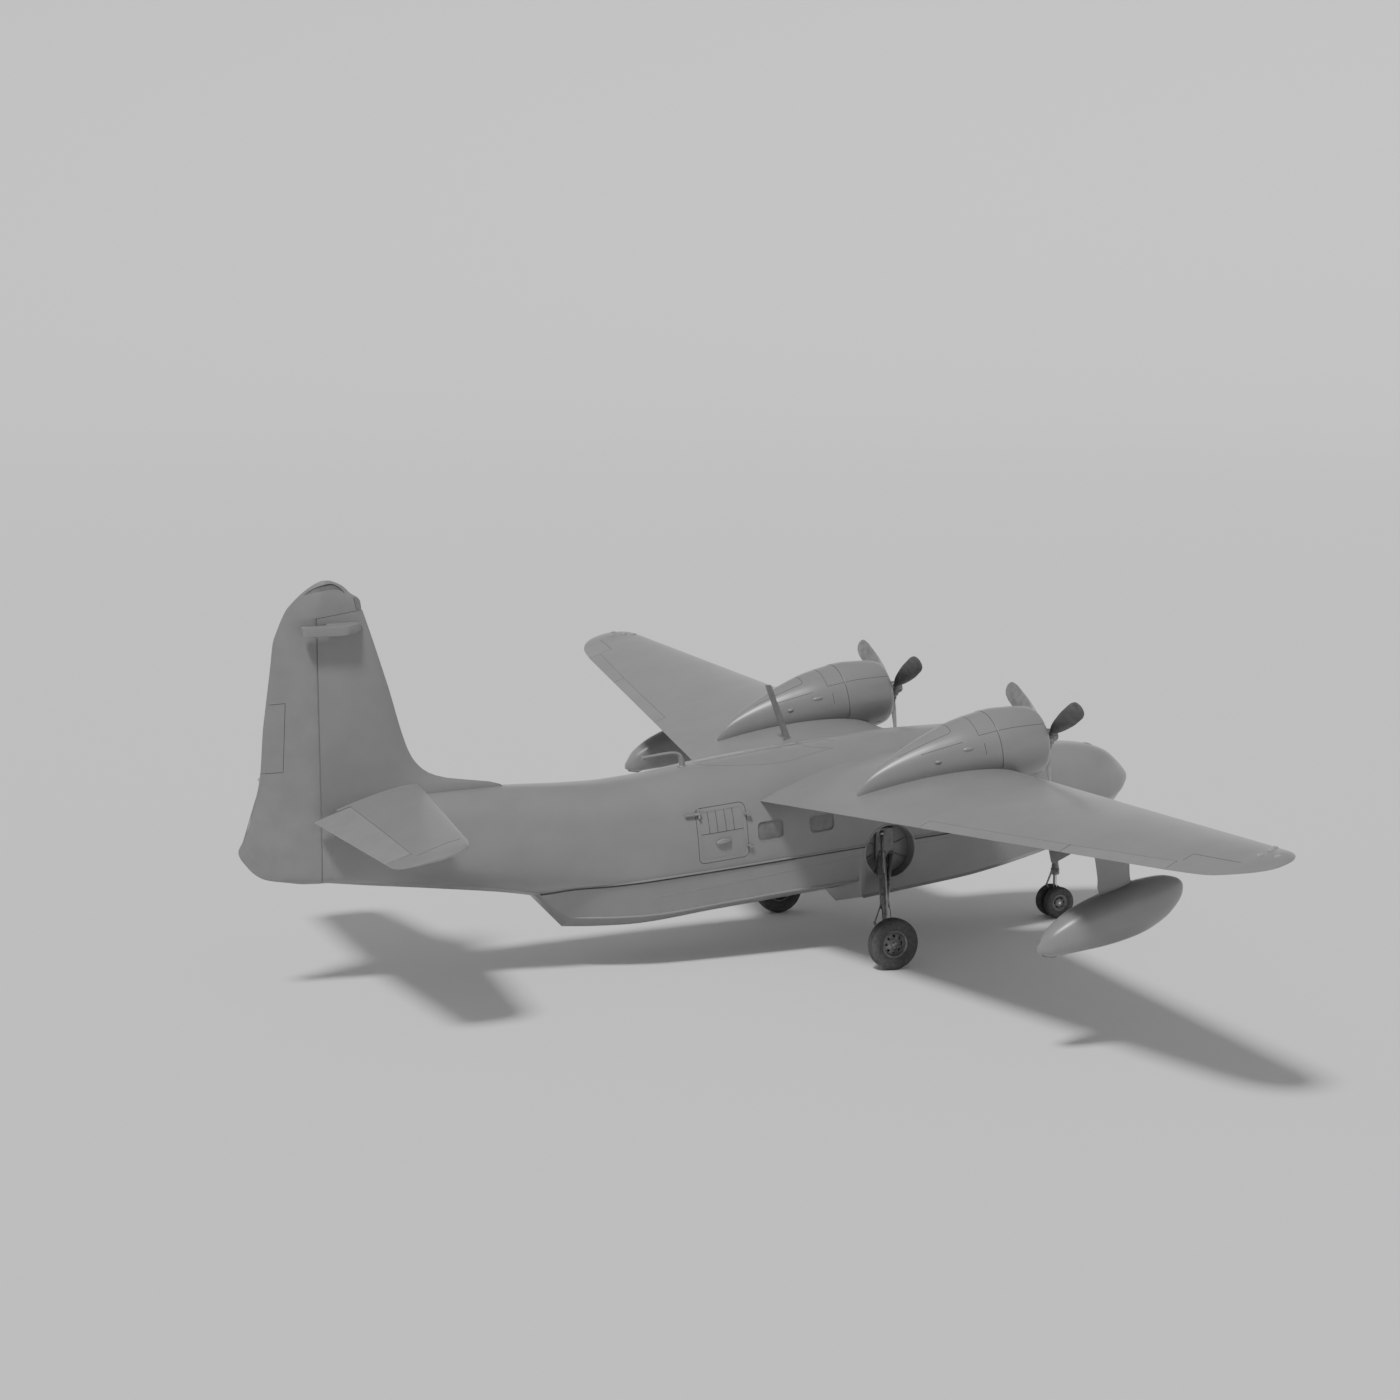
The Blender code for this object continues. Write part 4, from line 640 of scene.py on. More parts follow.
door = {
    "centre": (9.80, 2.68),
    "size": (1.06, 1.10),
    "tilt": radians(5.0),
    "corner": 0.12,
    # how far out the cutting prism runs, and the stretch of hull that the door is cut from
    "reach": (0.9, 1.6),
    "span": (8.9, 10.7),
    "hingeOut": 1.285,
    "hingeHeights": (-0.34, 0.30),
    "hingeRadius": 0.012,
    "hingeAhead": 0.012,
    "knuckle": 0.036,
    "leaf": ((-0.006, 0.0), (-0.006, 0.065), (0.10, 0.065), (0.10, 0.04), (0.006, 0.0)),
    "frameWidth": 0.085,
    # depths below the hull's skin of the panel's and the frame's faces
    "panelDepth": 0.005, "panelInner": 0.06,
    "frameProud": 0.001, "frameInner": 0.02, "frameReach": (0.8, 1.7), "frameCorner": 0.05,
    "ribs": (-0.27, -0.10, 0.08, 0.25), "ribShift": 0.012, "ribEnd": 0.02,
    "splitShare": 0.53,
    "handleAt": (0.0, -0.17), "handleTilt": radians(-8.0),
    # half width, half height, steps round, and rows of distance out and share of the size
    "handle": ((0.160, 0.066, 36, ((0.0, 1.0), (0.018, 1.02), (0.034, 0.94), (0.044, 0.78), (0.048, 0.55))),
               (0.125, 0.026, 28, ((0.040, 1.0), (0.058, 1.0), (0.066, 0.85), (0.069, 0.6)))),
    # rods from one place on the door to another, with their radius, steps round and bevel
    "stay": (((-0.42, 0.45, -0.045), (-0.75, 0.46, -0.045), 0.027, 18, 0.007),
             ((-0.46, 0.36, -0.045), (-0.46, 0.555, -0.045), 0.024, 18, 0.007),
             ((-0.46, 0.45, 0.0), (-0.46, 0.45, -0.062), 0.032, 18, 0.006),
             ((-0.505, 0.46, 0.0), (-0.505, 0.46, -0.05), 0.016, 12)),
}


def cabinWindow(index, margin):
    station, height, wide, tall = glazing["cabin"][index]
    corners = tiltedBox((station, height), (wide, tall), glazing["cabinTilt"], margin)
    return rounded(corners, glazing["cabinCorner"] - margin, 6)


def cabinPrism(index, side, margin, reach=hull["openingReach"]):
    return sidePrism(cabinWindow(index, margin), side, *reach)


def frontOutline(side):
    return rounded([(side * w, z) for w, z in glazing["frontOutline"]], glazing["frontCorner"], 4)


def frontPrism(side):
    return skin([[Vector((x, station - hullLength / 2.0, z)) for x, z in frontOutline(side)]
                 for station in hull["frontReach"]])


hullSkin = hullShape(0.0, sternPost)
hullTree = treeOf(hullSkin)
hullPiece = addPiece("hull_shell", hullSkin, "sprayedEnamel", nodes=("hull_bow", "hull_cabin", "hull_tail"))
lowA, highA, wellHalf, wellTop = hull["noseWell"]
cuts = [box(at(port, -wellHalf, lowA, 0.5), at(port, wellHalf, highA, wellTop)),
        roomShape(hull["cockpit"]), roomShape(hull["cabin"])]
for side, word in sides:
    wellA, wellZ, wellRadius, wellDepth = hull["wheelWell"]
    place = frameAt(at(side, 0.0, wellA, wellZ), outward(side))
    cuts.append(turned(((hull["flank"] - wellDepth, wellRadius), (1.5, wellRadius)), place, 64))
    cuts += [cabinPrism(index, side, 0.0) for index in range(len(glazing["cabin"]))]
    cuts += [sidePrism(rounded(corners, glazing["sideCorner"], 4), side, *hull["cockpitReach"])
             for corners in glazing["sideOutlines"]]
    cuts.append(frontPrism(side))
cuts.append(sidePrism(rounded(tiltedBox(door["centre"], door["size"], door["tilt"]), door["corner"], 6), starboard,
                      *door["reach"]))
carve(hullPiece, cuts)
print("hull made:", len(hullPiece.data.polygons), "faces")


# Keeps the part of a hull layer inside an outline: outer and inner are depths below the skin
def hullPatch(name, outline, first, last, outer, inner, finish, body=root, nodes=(), hole=None):
    piece = addPiece(name, hullShape(first, last, -outer), finish, body, nodes)
    carve(piece, [outline], "INTERSECT", finish)
    within = [hullShape(first - 0.3, last + 0.3, -inner)]
    if hole:
        within.append(hole)
    return carve(piece, within, "DIFFERENCE", finish)


def addPane(name, opening, first, last, inset):
    hullPatch(name, opening, first, last, inset, inset + glazing["thickness"], "smokedAcrylicAndPaintedShade")


def addBead(name, line, direction, size, spacing):
    addPiece(name, seams(hullTree, [line], direction, beadProfile(*size), spacing, looped=True), "sprayedEnamel")


inset, cockpitInset = glazing["cabinInset"], glazing["cockpitInset"]
for side, word in sides:
    for index, (station, _, wide, _) in enumerate(glazing["cabin"]):
        name = "window_%%s_%s_%d" % (word, index)
        first, last = station - wide, station + wide
        opening = cabinPrism(index, side, glazing["paneMargin"])
        addPane(name % "pane", opening, first, last, inset)
        hullPatch(name % "gasket", opening, first, last, inset - glazing["gasket"], inset, "brushedEnamel",
                  hole=cabinPrism(index, side, glazing["gasketMargin"], glazing["gasketReach"]))
        line = [at(side, 1.2, a, z) for a, z in cabinWindow(index, glazing["beadMargin"])]
        addBead(name % "frame", line, outward(-side), glazing["cabinBead"], 0.02)
    for index, corners in enumerate(glazing["sideOutlines"]):
        outline = rounded(corners, glazing["sideCorner"], 4)
        addPane("cockpit_pane_%s_%d" % (word, index), sidePrism(outline, side, *hull["cockpitReach"]),
                *glazing["cockpitSpan"], cockpitInset)
        addBead("cockpit_frame_%s_%d" % (word, index), [at(side, 1.0, a, z) for a, z in outline], outward(-side),
                glazing["cockpitBead"], 0.03)
    addPane("windscreen_pane_" + word, frontPrism(side), *glazing["frontSpan"], cockpitInset)
    addBead("windscreen_frame_" + word, [Vector((x, 0.0, z)) for x, z in frontOutline(side)], aftward,
            glazing["cockpitBead"], 0.03)
print("glazing made")


# Cabin door, which swings forward on two hinges
doorBody = "cabin_door"
doorTilt = door["tilt"]
doorWide, doorTall = door["size"]


# Station and height from how far forward and above the door's middle a place is
def doorSpot(forward, above):
    return (door["centre"][0] - forward * cos(doorTilt) + above * sin(doorTilt),
            door["centre"][1] + forward * sin(doorTilt) + above * cos(doorTilt))


def onDoor(forward, above, depth=0.0):
    station, height = doorSpot(forward, above)
    return at(starboard, halfWidthAt(station, height) - depth, station, height)


doorInner = tiltedBox(door["centre"], door["size"], doorTilt, door["frameWidth"])
doorOuter = rounded(tiltedBox(door["centre"], door["size"], doorTilt, runGap), door["corner"] - runGap, 6)
doorPrism = sidePrism(doorOuter, starboard, *door["reach"])
hullPatch("door_panel", doorPrism, *door["span"], door["panelDepth"], door["panelInner"], "sprayedEnamel", doorBody,
          ("cabin_door",))
hullPatch("door_frame", doorPrism, *door["span"], -door["frameProud"], door["frameInner"], "sprayedEnamel", doorBody,
          hole=sidePrism(rounded(doorInner, door["frameCorner"], 5), starboard, *door["frameReach"]))
doorTree = treeOf(hullShape(*door["span"], -door["panelDepth"]))
halfWide = doorWide / 2.0 - door["frameWidth"]
halfTall = doorTall / 2.0 - door["frameWidth"]
split = doorTall * (door["splitShare"] - 0.5)
doorLines = [[onDoor(forward, split), onDoor(forward, halfTall)] for forward in door["ribs"]]
doorLines.append([onDoor(-halfWide, split), onDoor(halfWide, split)])
# The door's grooves are drawn as dark lines of painted shade
addPiece("door_seams", seams(doorTree, doorLines, outward(port), seamProfile(0.016, 0.002)), "paintedShade", doorBody)
ribLines = [[onDoor(forward, split + door["ribEnd"]), onDoor(forward, halfTall - door["ribEnd"])]
            for forward in [place - door["ribShift"] for place in door["ribs"]]]
addPiece("door_ribs", seams(doorTree, ribLines, outward(port), beadProfile(0.016, 0.007)), "sprayedEnamel", doorBody)

handlePlace = Matrix.Translation(onDoor(*door["handleAt"], door["panelDepth"]))
handleFrame = handlePlace @ Matrix.Rotation(door["handleTilt"], 4, "X")
addPiece("door_handle", [skin([[handleFrame @ Vector((-out, wide * share * cos(a), tall * share * sin(a)))
                                for a in around(steps)] for out, share in rows])
                         for wide, tall, steps, rows in door["handle"]], "brushedEnamel", doorBody)
addPiece("door_stay", [rod(onDoor(*start), onDoor(*end), *sizes) for start, end, *sizes in door["stay"]],
         "brushedEnamel", doorBody)
hingeLow, hingeHigh = [at(starboard, door["hingeOut"], *doorSpot(doorWide / 2.0 + door["hingeAhead"], above))
                       for above in (-0.5 * doorTall, 0.5 * doorTall)]
hingeAxis = (hingeHigh - hingeLow).normalized()
for index, over in enumerate(door["hingeHeights"]):
    base = (hingeLow + hingeHigh) / 2.0 + hingeAxis * over
    for word, start, end, turn, owner in (
            ("hull", base - hingeAxis * (door["knuckle"] + seatGap), base - hingeAxis * seatGap, -1.0, root),
            ("door", base, base + hingeAxis * door["knuckle"], 1.0, doorBody)):
        forward = hingeAxis.cross(outward(port)).normalized()
        if forward.y * turn < 0.0:
            forward = -forward
        leafFrame = Matrix.Translation(start) @ Matrix((outward(port), forward, hingeAxis)).transposed().to_4x4()
        screws = [rod(leafFrame @ Vector((-0.010, 0.045, z)), leafFrame @ Vector((0.0, 0.045, z)), 0.005, 10)
                  for z in (0.010, 0.026)]
        addPiece("door_hinge_%s_%d" % (word, index), [rod(start, end, door["hingeRadius"], 20, 0.002),
                                                      prism(door["leaf"], leafFrame, 0.003, 0.033), *screws],
                 "sprayedEnamel", owner)
print("door made")

# Strips and lines along the hull
trim = {
    # first and last station of each run
    "rail": (2.6, 13.36), "spray": (1.0, 6.72), "chine": (6.84, 12.66), "crease": (3.0, 11.2),
    "wellHalf": 0.535, "creaseEnd": 0.02,
    # how far the crease falls below the rail for each metre aft of a station
    "creaseFall": (0.04, 1.77),
    "ledgeProfile": ((-0.040, -0.012), (-0.030, 0.014), (-0.010, 0.026), (0.006, 0.027), (0.012, 0.018),
                     (0.012, -0.012)),
    # section of the strip of painted shade that lies under the ledge
    "shadeStripProfile": ((0.010, -0.010), (0.012, 0.006), (0.046, 0.004), (0.050, -0.010)),
    "sprayProfile": ((-0.035, -0.015), (-0.022, 0.010), (0.004, 0.034), (0.014, 0.030), (0.014, -0.015)),
    "chineProfile": ((-0.022, -0.012), (-0.014, 0.006), (0.004, 0.020), (0.012, 0.018), (0.012, -0.012)),
    "rootLine": ((-0.12, 8.75), (-0.12, 8.40), (0.0, 7.79), (0.0, 7.05), (0.20, 6.90)),
}


def hullPath(side, first, last, place, steps):
    path = [at(side, *place(station)) for station in spread(first, last, steps)]
    return list(reversed(path)) if side == starboard else path


def railPlace(station):
    railW, railZ, _, _, _ = upper(station)
    return railW, station, railZ


def chinePlace(station):
    _, chineW, chineZ = (lowerFore if station < stepFore else lowerAft)(station)
    return chineW, station, chineZ


for side, word in sides:
    wellA, wellZ, wellRadius, _ = hull["wheelWell"]
    foreEnd, aftEnd = wellA - trim["wellHalf"], wellA + trim["wellHalf"]
    rails = [hullPath(side, trim["rail"][0], foreEnd, railPlace, 30),
             hullPath(side, aftEnd, trim["rail"][1], railPlace, 70)]
    # The ledge is enamel; under it lies a darker strip, painted shade for the shade the ledge casts
    for kind, finish in (("ledge", "sprayedEnamel"), ("shadeStrip", "paintedShade")):
        addPiece("rail_%s_%s" % (kind, word),
                 [strip(path, [outward(side)] * len(path), trim[kind + "Profile"]) for path in rails], finish)
    for kind in ("spray", "chine"):
        path = hullPath(side, *trim[kind], chinePlace, 60)
        normals = [Vector((side, 0.0, -0.35)).normalized()] * len(path)
        addPiece("%s_strip_%s" % (kind, word), strip(path, normals, trim[kind + "Profile"]), "sprayedEnamel")
    fall, level = trim["creaseFall"]
    creases = [[at(side, 1.2, station, upper(station)[1] - fall * (station - level))
                for station in spread(first, last, 24)]
               for first, last in ((trim["crease"][0], foreEnd - trim["creaseEnd"]),
                                   (aftEnd + trim["creaseEnd"], trim["crease"][1]))]
    addPiece("hull_crease_" + word, seams(hullTree, creases, outward(-side), beadProfile(0.022, 0.004), 0.1),
             "sprayedEnamel")
    outline = [at(side, 1.2, wellA, wellZ) + Vector((0.0, spot.x, spot.y))
               for spot in [polar(wellRadius + 0.020, a) for a in around(96)]]
    addBead("well_rim_" + word, outline, outward(-side), (0.036, 0.010), 0.05)
rootCorners = [Vector((-out, station - hullLength / 2.0, 4.0)) for out, station in trim["rootLine"]]
# A dark line of painted shade along the wing's root across the roof
addPiece("roof_seam", seams(hullTree, [rootCorners], down), "paintedShade")
print("hull strips made")

# Wings with flaps and ailerons
wing = {
    # out, leading edge station and height, trailing edge station and height, thickness ratio
    "rows": ((0.50, 4.39, 3.66, 9.07, 3.20, 0.165), (13.00, 5.350821, 4.378284, 7.111045, 4.086194, 0.132351)),
    "tip": ((13.00, 5.350821, 4.378284, 7.111045, 4.086194, 0.132351), (13.90, 5.43, 4.43, 6.90, 4.16, 0.128),
            (14.30, 5.52, 4.46, 6.72, 4.235, 0.120), (14.58, 5.72, 4.45, 6.50, 4.30, 0.105),
            (14.70, 5.93, 4.42, 6.33, 4.34, 0.090), (14.73, 6.06, 4.39, 6.22, 4.36, 0.080)),
    "camber": 0.02,
    # inner and outer end of a control, and the station of its nose at each
    "flap": (6.29, 10.295, 7.88, 7.27),
    "aileron": (10.285, 12.95, 7.270, 6.82),
    "noseRadius": 0.10, "lipGap": 0.005, "endGap": 0.016,
    "tipSeam": ((13.00, 6.78), (12.95, 6.55), (14.09, 6.39)),
    "tipLamps": ((13.86, 5.61), (14.02, 5.78), (14.12, 6.05), (14.42, 5.92)),
    # half width and length of a lamp, and its rows of height and share of the size
    "lampSize": (0.035, 0.075), "lampRows": ((-0.02, 1.0), (0.012, 0.97), (0.026, 0.75), (0.033, 0.35)),
    "rootLine": (4.75, 8.70),
}
tailplane = {
    "rows": ((0.05, 15.60, 3.86, 17.79, 3.36, 0.12), (3.90, 16.017470, 3.637349, 17.595181, 3.313614, 0.101446)),
    "tip": ((3.90, 16.017470, 3.637349, 17.595181, 3.313614, 0.101446), (4.20, 16.05, 3.62, 17.58, 3.31, 0.10),
            (4.52, 16.13, 3.60, 17.57, 3.31, 0.095), (4.72, 16.28, 3.57, 17.50, 3.32, 0.09),
            (4.82, 16.46, 3.53, 17.36, 3.35, 0.08), (4.85, 16.66, 3.49, 17.16, 3.39, 0.06)),
    "camber": 0.0,
    "elevator": (0.34, 4.22, 17.00, 17.08),
}


def aerofoil(side, row, camber, steps=34):
    out, leadA, leadZ, trailA, trailZ, ratio = row
    lead = Vector((leadA, leadZ))
    chord = Vector((trailA, trailZ)) - lead
    length = chord.length
    along = chord / length
    over = Vector((-along.y, along.x))
    upperSide = []
    lowerSide = []
    for step in range(steps + 1):
        x = (1.0 - cos(pi * step / steps)) / 2.0
        shape = 0.2969 * sqrt(x) - 0.1260 * x - 0.3516 * x**2 + 0.2843 * x**3 - 0.1036 * x**4
        half = 5.0 * ratio * shape * length + 0.004 * x
        middle = camber * length * 4.0 * x * (1.0 - x)
        upperSide.append(lead + along * x * length + over * (middle + half))
        lowerSide.append(lead + along * x * length + over * (middle - half))
    ring = list(reversed(upperSide)) + lowerSide[1:]
    return [at(side, out, point.x, point.y) for point in ring]


def surfaceShape(side, surface):
    rows, tip = surface["rows"], surface["tip"]
    smoothTip = curveThrough(tip)
    first, last = rows[0][0], rows[-1][0]
    outs = spread(first, last, 22)
    outs += [last + (tip[-1][0] - last) * sin(pi / 2.0 * step / 18.0) for step in range(1, 19)]
    return skin([aerofoil(side, straightRow(rows, out) if out <= last else [out, *smoothTip(out)], surface["camber"])
                 for out in outs])


# Axis of a control: its frame with Z outwards, and its length
def controlFrame(side, surface, control):
    inner, outer, noseInner, noseOuter = control
    ends = []
    for out, nose in ((inner, noseInner), (outer, noseOuter)):
        rows = surface["rows"] if out <= surface["rows"][-1][0] else surface["tip"]
        _, leadA, leadZ, trailA, trailZ, _ = straightRow(rows, out)
        station = nose + wing["noseRadius"]
        height = leadZ + (trailZ - leadZ) * (station - leadA) / (trailA - leadA)
        ends.append(at(side, out, station, height + 0.006))
    direction = ends[1] - ends[0]
    return frameAt(ends[0], direction, upward), direction.length


# Shapes that cut a control's bay, and that keep the control itself
def controlShapes(side, surface, control, innerOpen):
    place, length = controlFrame(side, surface, control)
    start, stop = (0.0, length + 0.03) if innerOpen else (-0.03, length)
    aft, tall = side * 1.4, 0.5
    turns = spread(pi / 2.0, 1.5 * pi, 16)
    bay, nose = [[(side * radius * cos(a), radius * sin(a)) for a in turns]
                 for radius in (wing["noseRadius"] + wing["lipGap"], wing["noseRadius"])]
    bay += [(0.0, -tall), (aft, -tall), (aft, tall), (0.0, tall)]
    nose += [(aft, -tall), (aft, tall)]
    return prism(bay, place, start, stop), prism(nose, place, wing["endGap"], length - wing["endGap"])


# Skin of a fixed surface and of the controls cut out of it, each from the same shape
def addSurface(fixed, shape, side, word, surface, controls, fore=(), aft=()):
    shapes = [controlShapes(side, surface, surface[control], innerOpen) for control, innerOpen, _ in controls]
    piece = addPiece("%s_skin_%s" % (fixed, word), shape, "sprayedEnamel", nodes=("%s_%s" % (fixed, word),))
    carve(piece, [*fore, *[bay for bay, _ in shapes], *aft])
    for (control, _, finish), (_, keep) in zip(controls, shapes):
        body = "%s_%s" % (control, word)
        carve(addPiece("%s_skin_%s" % (control, word), shape, finish, body, (body,)), [keep], "INTERSECT", finish)


wingShapes = {}
for side, word in sides:
    shape = surfaceShape(side, wing)
    wingShapes[word] = shape
    addSurface("wing", shape, side, word, wing, (("flap", True, "sprayedEnamel"), ("aileron", False, "dopedFabric")),
               fore=[hullShape(3.6, 10.0, seatGap)])
    tree = treeOf(shape)
    rootPoints = []
    for station in spread(*wing["rootLine"], 48):
        for out in [0.52 + 0.01 * tick for tick in range(78)]:
            hit = tree.ray_cast(at(side, out, station, 6.0), down)[0]
            if hit and halfWidthAt(station, hit.z) <= out:
                rootPoints.append(hit)
                break
    rootNormals = [Vector((side, 0.0, 1.0)).normalized()] * len(rootPoints)
    addPiece("wing_root_seam_" + word, strip(rootPoints, rootNormals, beadProfile(0.030, 0.005)), "sprayedEnamel")
    tipLine = [at(side, out, station, 4.3) for out, station in wing["tipSeam"]]
    # The tip's joint is drawn as a dark line of painted shade
    addPiece("wing_tip_seam_" + word, seams(tree, [tipLine], down), "paintedShade")
    wide, long = wing["lampSize"]
    lamps = []
    for out, station in wing["tipLamps"]:
        spot = traced(tree, [at(side, out, station, 4.3), at(side, out, station + 0.01, 4.3)], down)[0][0]
        lamps.append(skin([[spot + Vector((wide * share * cos(a), long * share * sin(a) + 0.02 * lift, lift))
                            for a in around(20)] for lift, share in wing["lampRows"]]))
    addPiece("wing_tip_lamps_" + word, lamps, "pressedGlass")
print("wings made")

# Engine pods: nacelle, cowl, radial engine and propeller
pod = {
    "out": 3.35, "lip": (3.93, 4.50), "tilt": radians(6.0),
    # distance aft of the lip, lift of the middle, half width, rise, drop
    "nacelle": ((1.2803, 0.00, 0.763, 0.763, 0.66), (1.82, -0.01, 0.68, 0.70, 0.60), (2.40, -0.06, 0.53, 0.60, 0.50),
                (3.00, -0.14, 0.35, 0.46, 0.40), (3.60, -0.25, 0.17, 0.28, 0.28), (3.90, -0.34, 0.08, 0.16, 0.18),
                (4.06, -0.42, 0.02, 0.06, 0.10)),
    "cowlInner": ((1.28, 0.725), (0.72, 0.722), (0.42, 0.680), (0.25, 0.610), (0.165, 0.552)),
    "cowlOuter": ((0.138, 0.575), (0.160, 0.618), (0.24, 0.672), (0.42, 0.716), (0.74, 0.757), (1.02, 0.778),
                  (1.28, 0.765)),
    "slot": (4.80, 3.20, 3.70), "slotHalf": 0.95, "slotLength": 1.2,
    "gillAngles": (38.0, 142.0), "gillEnd": 1.66,
    "hatch": (2.10, 3.20, 60.0, 120.0),
    "lowLine": (2.0, 2.8, 34.0),
    # distance aft, angle, and half length, half width and height of a blister
    "blisters": ((1.93, 20.0, 0.11, 0.040, 0.018), (2.53, 6.0, 0.07, 0.036, 0.026)),
}
engine = {
    "case": ((0.06, 0.03), (0.08, 0.075), (0.10, 0.09), (0.14, 0.15), (0.17, 0.165), (0.30, 0.205), (0.33, 0.235),
             (0.41, 0.30), (0.43, 0.312), (0.60, 0.315), (0.72, 0.315), (0.90, 0.29), (0.95, 0.28)),
    "cylinders": 9, "place": 0.50, "foot": 0.25, "finFrom": 0.305, "finTo": 0.585, "fins": 15,
    # the first few fins are shorter
    "barrel": 0.066, "finRadius": 0.086, "shortFins": 5, "shorter": 0.008,
    "head": ((0.590, 0.080), (0.610, 0.076), (0.625, 0.060), (0.631, 0.03)),
    # half width, half depth and corner of a rocker box, its place, and rows of height and share
    "rocker": (0.026, 0.045, 0.018), "rockerPlace": (0.046, -0.020),
    "rockerRows": ((0.575, 1.0), (0.628, 1.0), (0.640, 0.9), (0.645, 0.7)),
    # radius and distance aft of the ring that the ignition leads start from, and its thickness
    "ring": (0.198, 0.235, 0.011),
    # radius round the crankcase, angle past the cylinder, distance aft
    "pushRodFoot": (0.19, 0.10, 0.27), "leadFoot": (0.20, 0.17, 0.24), "leadBend": (0.34, 0.20, 0.33),
    "bolt": (0.185, 0.35, 0.16),
    # places beside the barrel
    "leadPlug": ((0.078, -0.05, 0.48), (0.040, -0.062, 0.555)), "pushRodHead": (-0.052, 0.590),
}
airscrew = {
    "radius": 1.675, "blades": 3, "place": -0.12, "flat": (0.28, 0.3),
    # bolts on a collar and on the hub: count, radius, distance along, length, size, steps round
    "collarBolts": (6, 0.084, 0.176, 0.022, 0.007, 8), "hubBolts": (8, 0.128, -0.232, 0.014, 0.008),
    # radius, chord, thickness, angle from the plane of the disc
    "sections": ((0.10, 0.10, 0.100, 60.0), (0.28, 0.12, 0.100, 58.0), (0.45, 0.24, 0.070, 50.0),
                 (0.75, 0.33, 0.048, 40.0), (1.10, 0.38, 0.034, 31.0), (1.40, 0.38, 0.026, 25.0),
                 (1.58, 0.31, 0.020, 22.0), (1.65, 0.19, 0.014, 21.0), (1.675, 0.06, 0.008, 21.0)),
    "hub": ((-0.362, 0.012), (-0.360, 0.045), (-0.345, 0.078), (-0.310, 0.100), (-0.250, 0.112), (-0.222, 0.116),
            (-0.220, 0.140), (-0.206, 0.140), (-0.204, 0.165), (-0.190, 0.172), (-0.050, 0.172), (-0.036, 0.165),
            (-0.034, 0.120), (-0.020, 0.118), (-0.018, 0.092), (0.0997, 0.080)),
    "collar": ((0.10, 0.078), (0.165, 0.080), (0.170, 0.086), (0.205, 0.086), (0.210, 0.078), (0.225, 0.076),
               (0.228, 0.064), (0.262, 0.060)),
}
nacelleRow = curveThrough(pod["nacelle"])
nacelleFrom, nacelleTo = pod["nacelle"][0][0], pod["nacelle"][-1][0]
gillEnd, (lowGill, highGill) = pod["gillEnd"], pod["gillAngles"]
hatchA, hatchB, hatchLow, hatchHigh = pod["hatch"]
lineA, lineB, lineAngle = pod["lowLine"]
podLines = [
    [(1.276, -18.0), (1.276, 198.0)], [(gillEnd, lowGill), (gillEnd, highGill)],
    [(0.22, lowGill), (gillEnd, lowGill)], [(0.22, highGill), (gillEnd, highGill)],
    [(1.60, 6.0), (1.60, 24.0)], [(1.60, 156.0), (1.60, 174.0)],
    [(hatchB, hatchLow), (hatchA + 0.08, hatchLow), (hatchA + 0.02, hatchLow + 2.0), (hatchA, hatchLow + 8.0),
     (hatchA, hatchHigh - 8.0), (hatchA + 0.02, hatchHigh - 2.0), (hatchA + 0.08, hatchHigh), (hatchB, hatchHigh)],
    [(lineA, lineAngle), (lineB, lineAngle)], [(lineA, 180.0 - lineAngle), (lineB, 180.0 - lineAngle)]]


# Points where rays at (distance aft, angle) pairs meet the pod's skin
def podTrace(tree, place, pairs, spacing=0.03):
    points = []
    normals = []
    for (t0, a0), (t1, a1) in zip(pairs, pairs[1:]):
        steps = max(1, int(hypot(t1 - t0, radians(a1 - a0) * 0.7) / spacing))
        for step in range(steps + 1):
            share = step / steps
            t, angle = t0 + (t1 - t0) * share, radians(a0 + (a1 - a0) * share)
            origin = place @ polar(2.0, angle, t)
            aim = (place @ Vector((0.0, 0.0, t)) - origin).normalized()
            hit, normal, _, _ = tree.ray_cast(origin, aim)
            if hit and (not points or (hit - points[-1]).length > 1e-4):
                points.append(hit)
                normals.append(normal if normal.dot(aim) < 0.0 else -normal)
    return points, normals


def podSeams(tree, place, lines, profile):
    traces = [podTrace(tree, place, pairs) for pairs in lines]
    return [strip(points, normals, profile) for points, normals in traces if len(points) > 1]


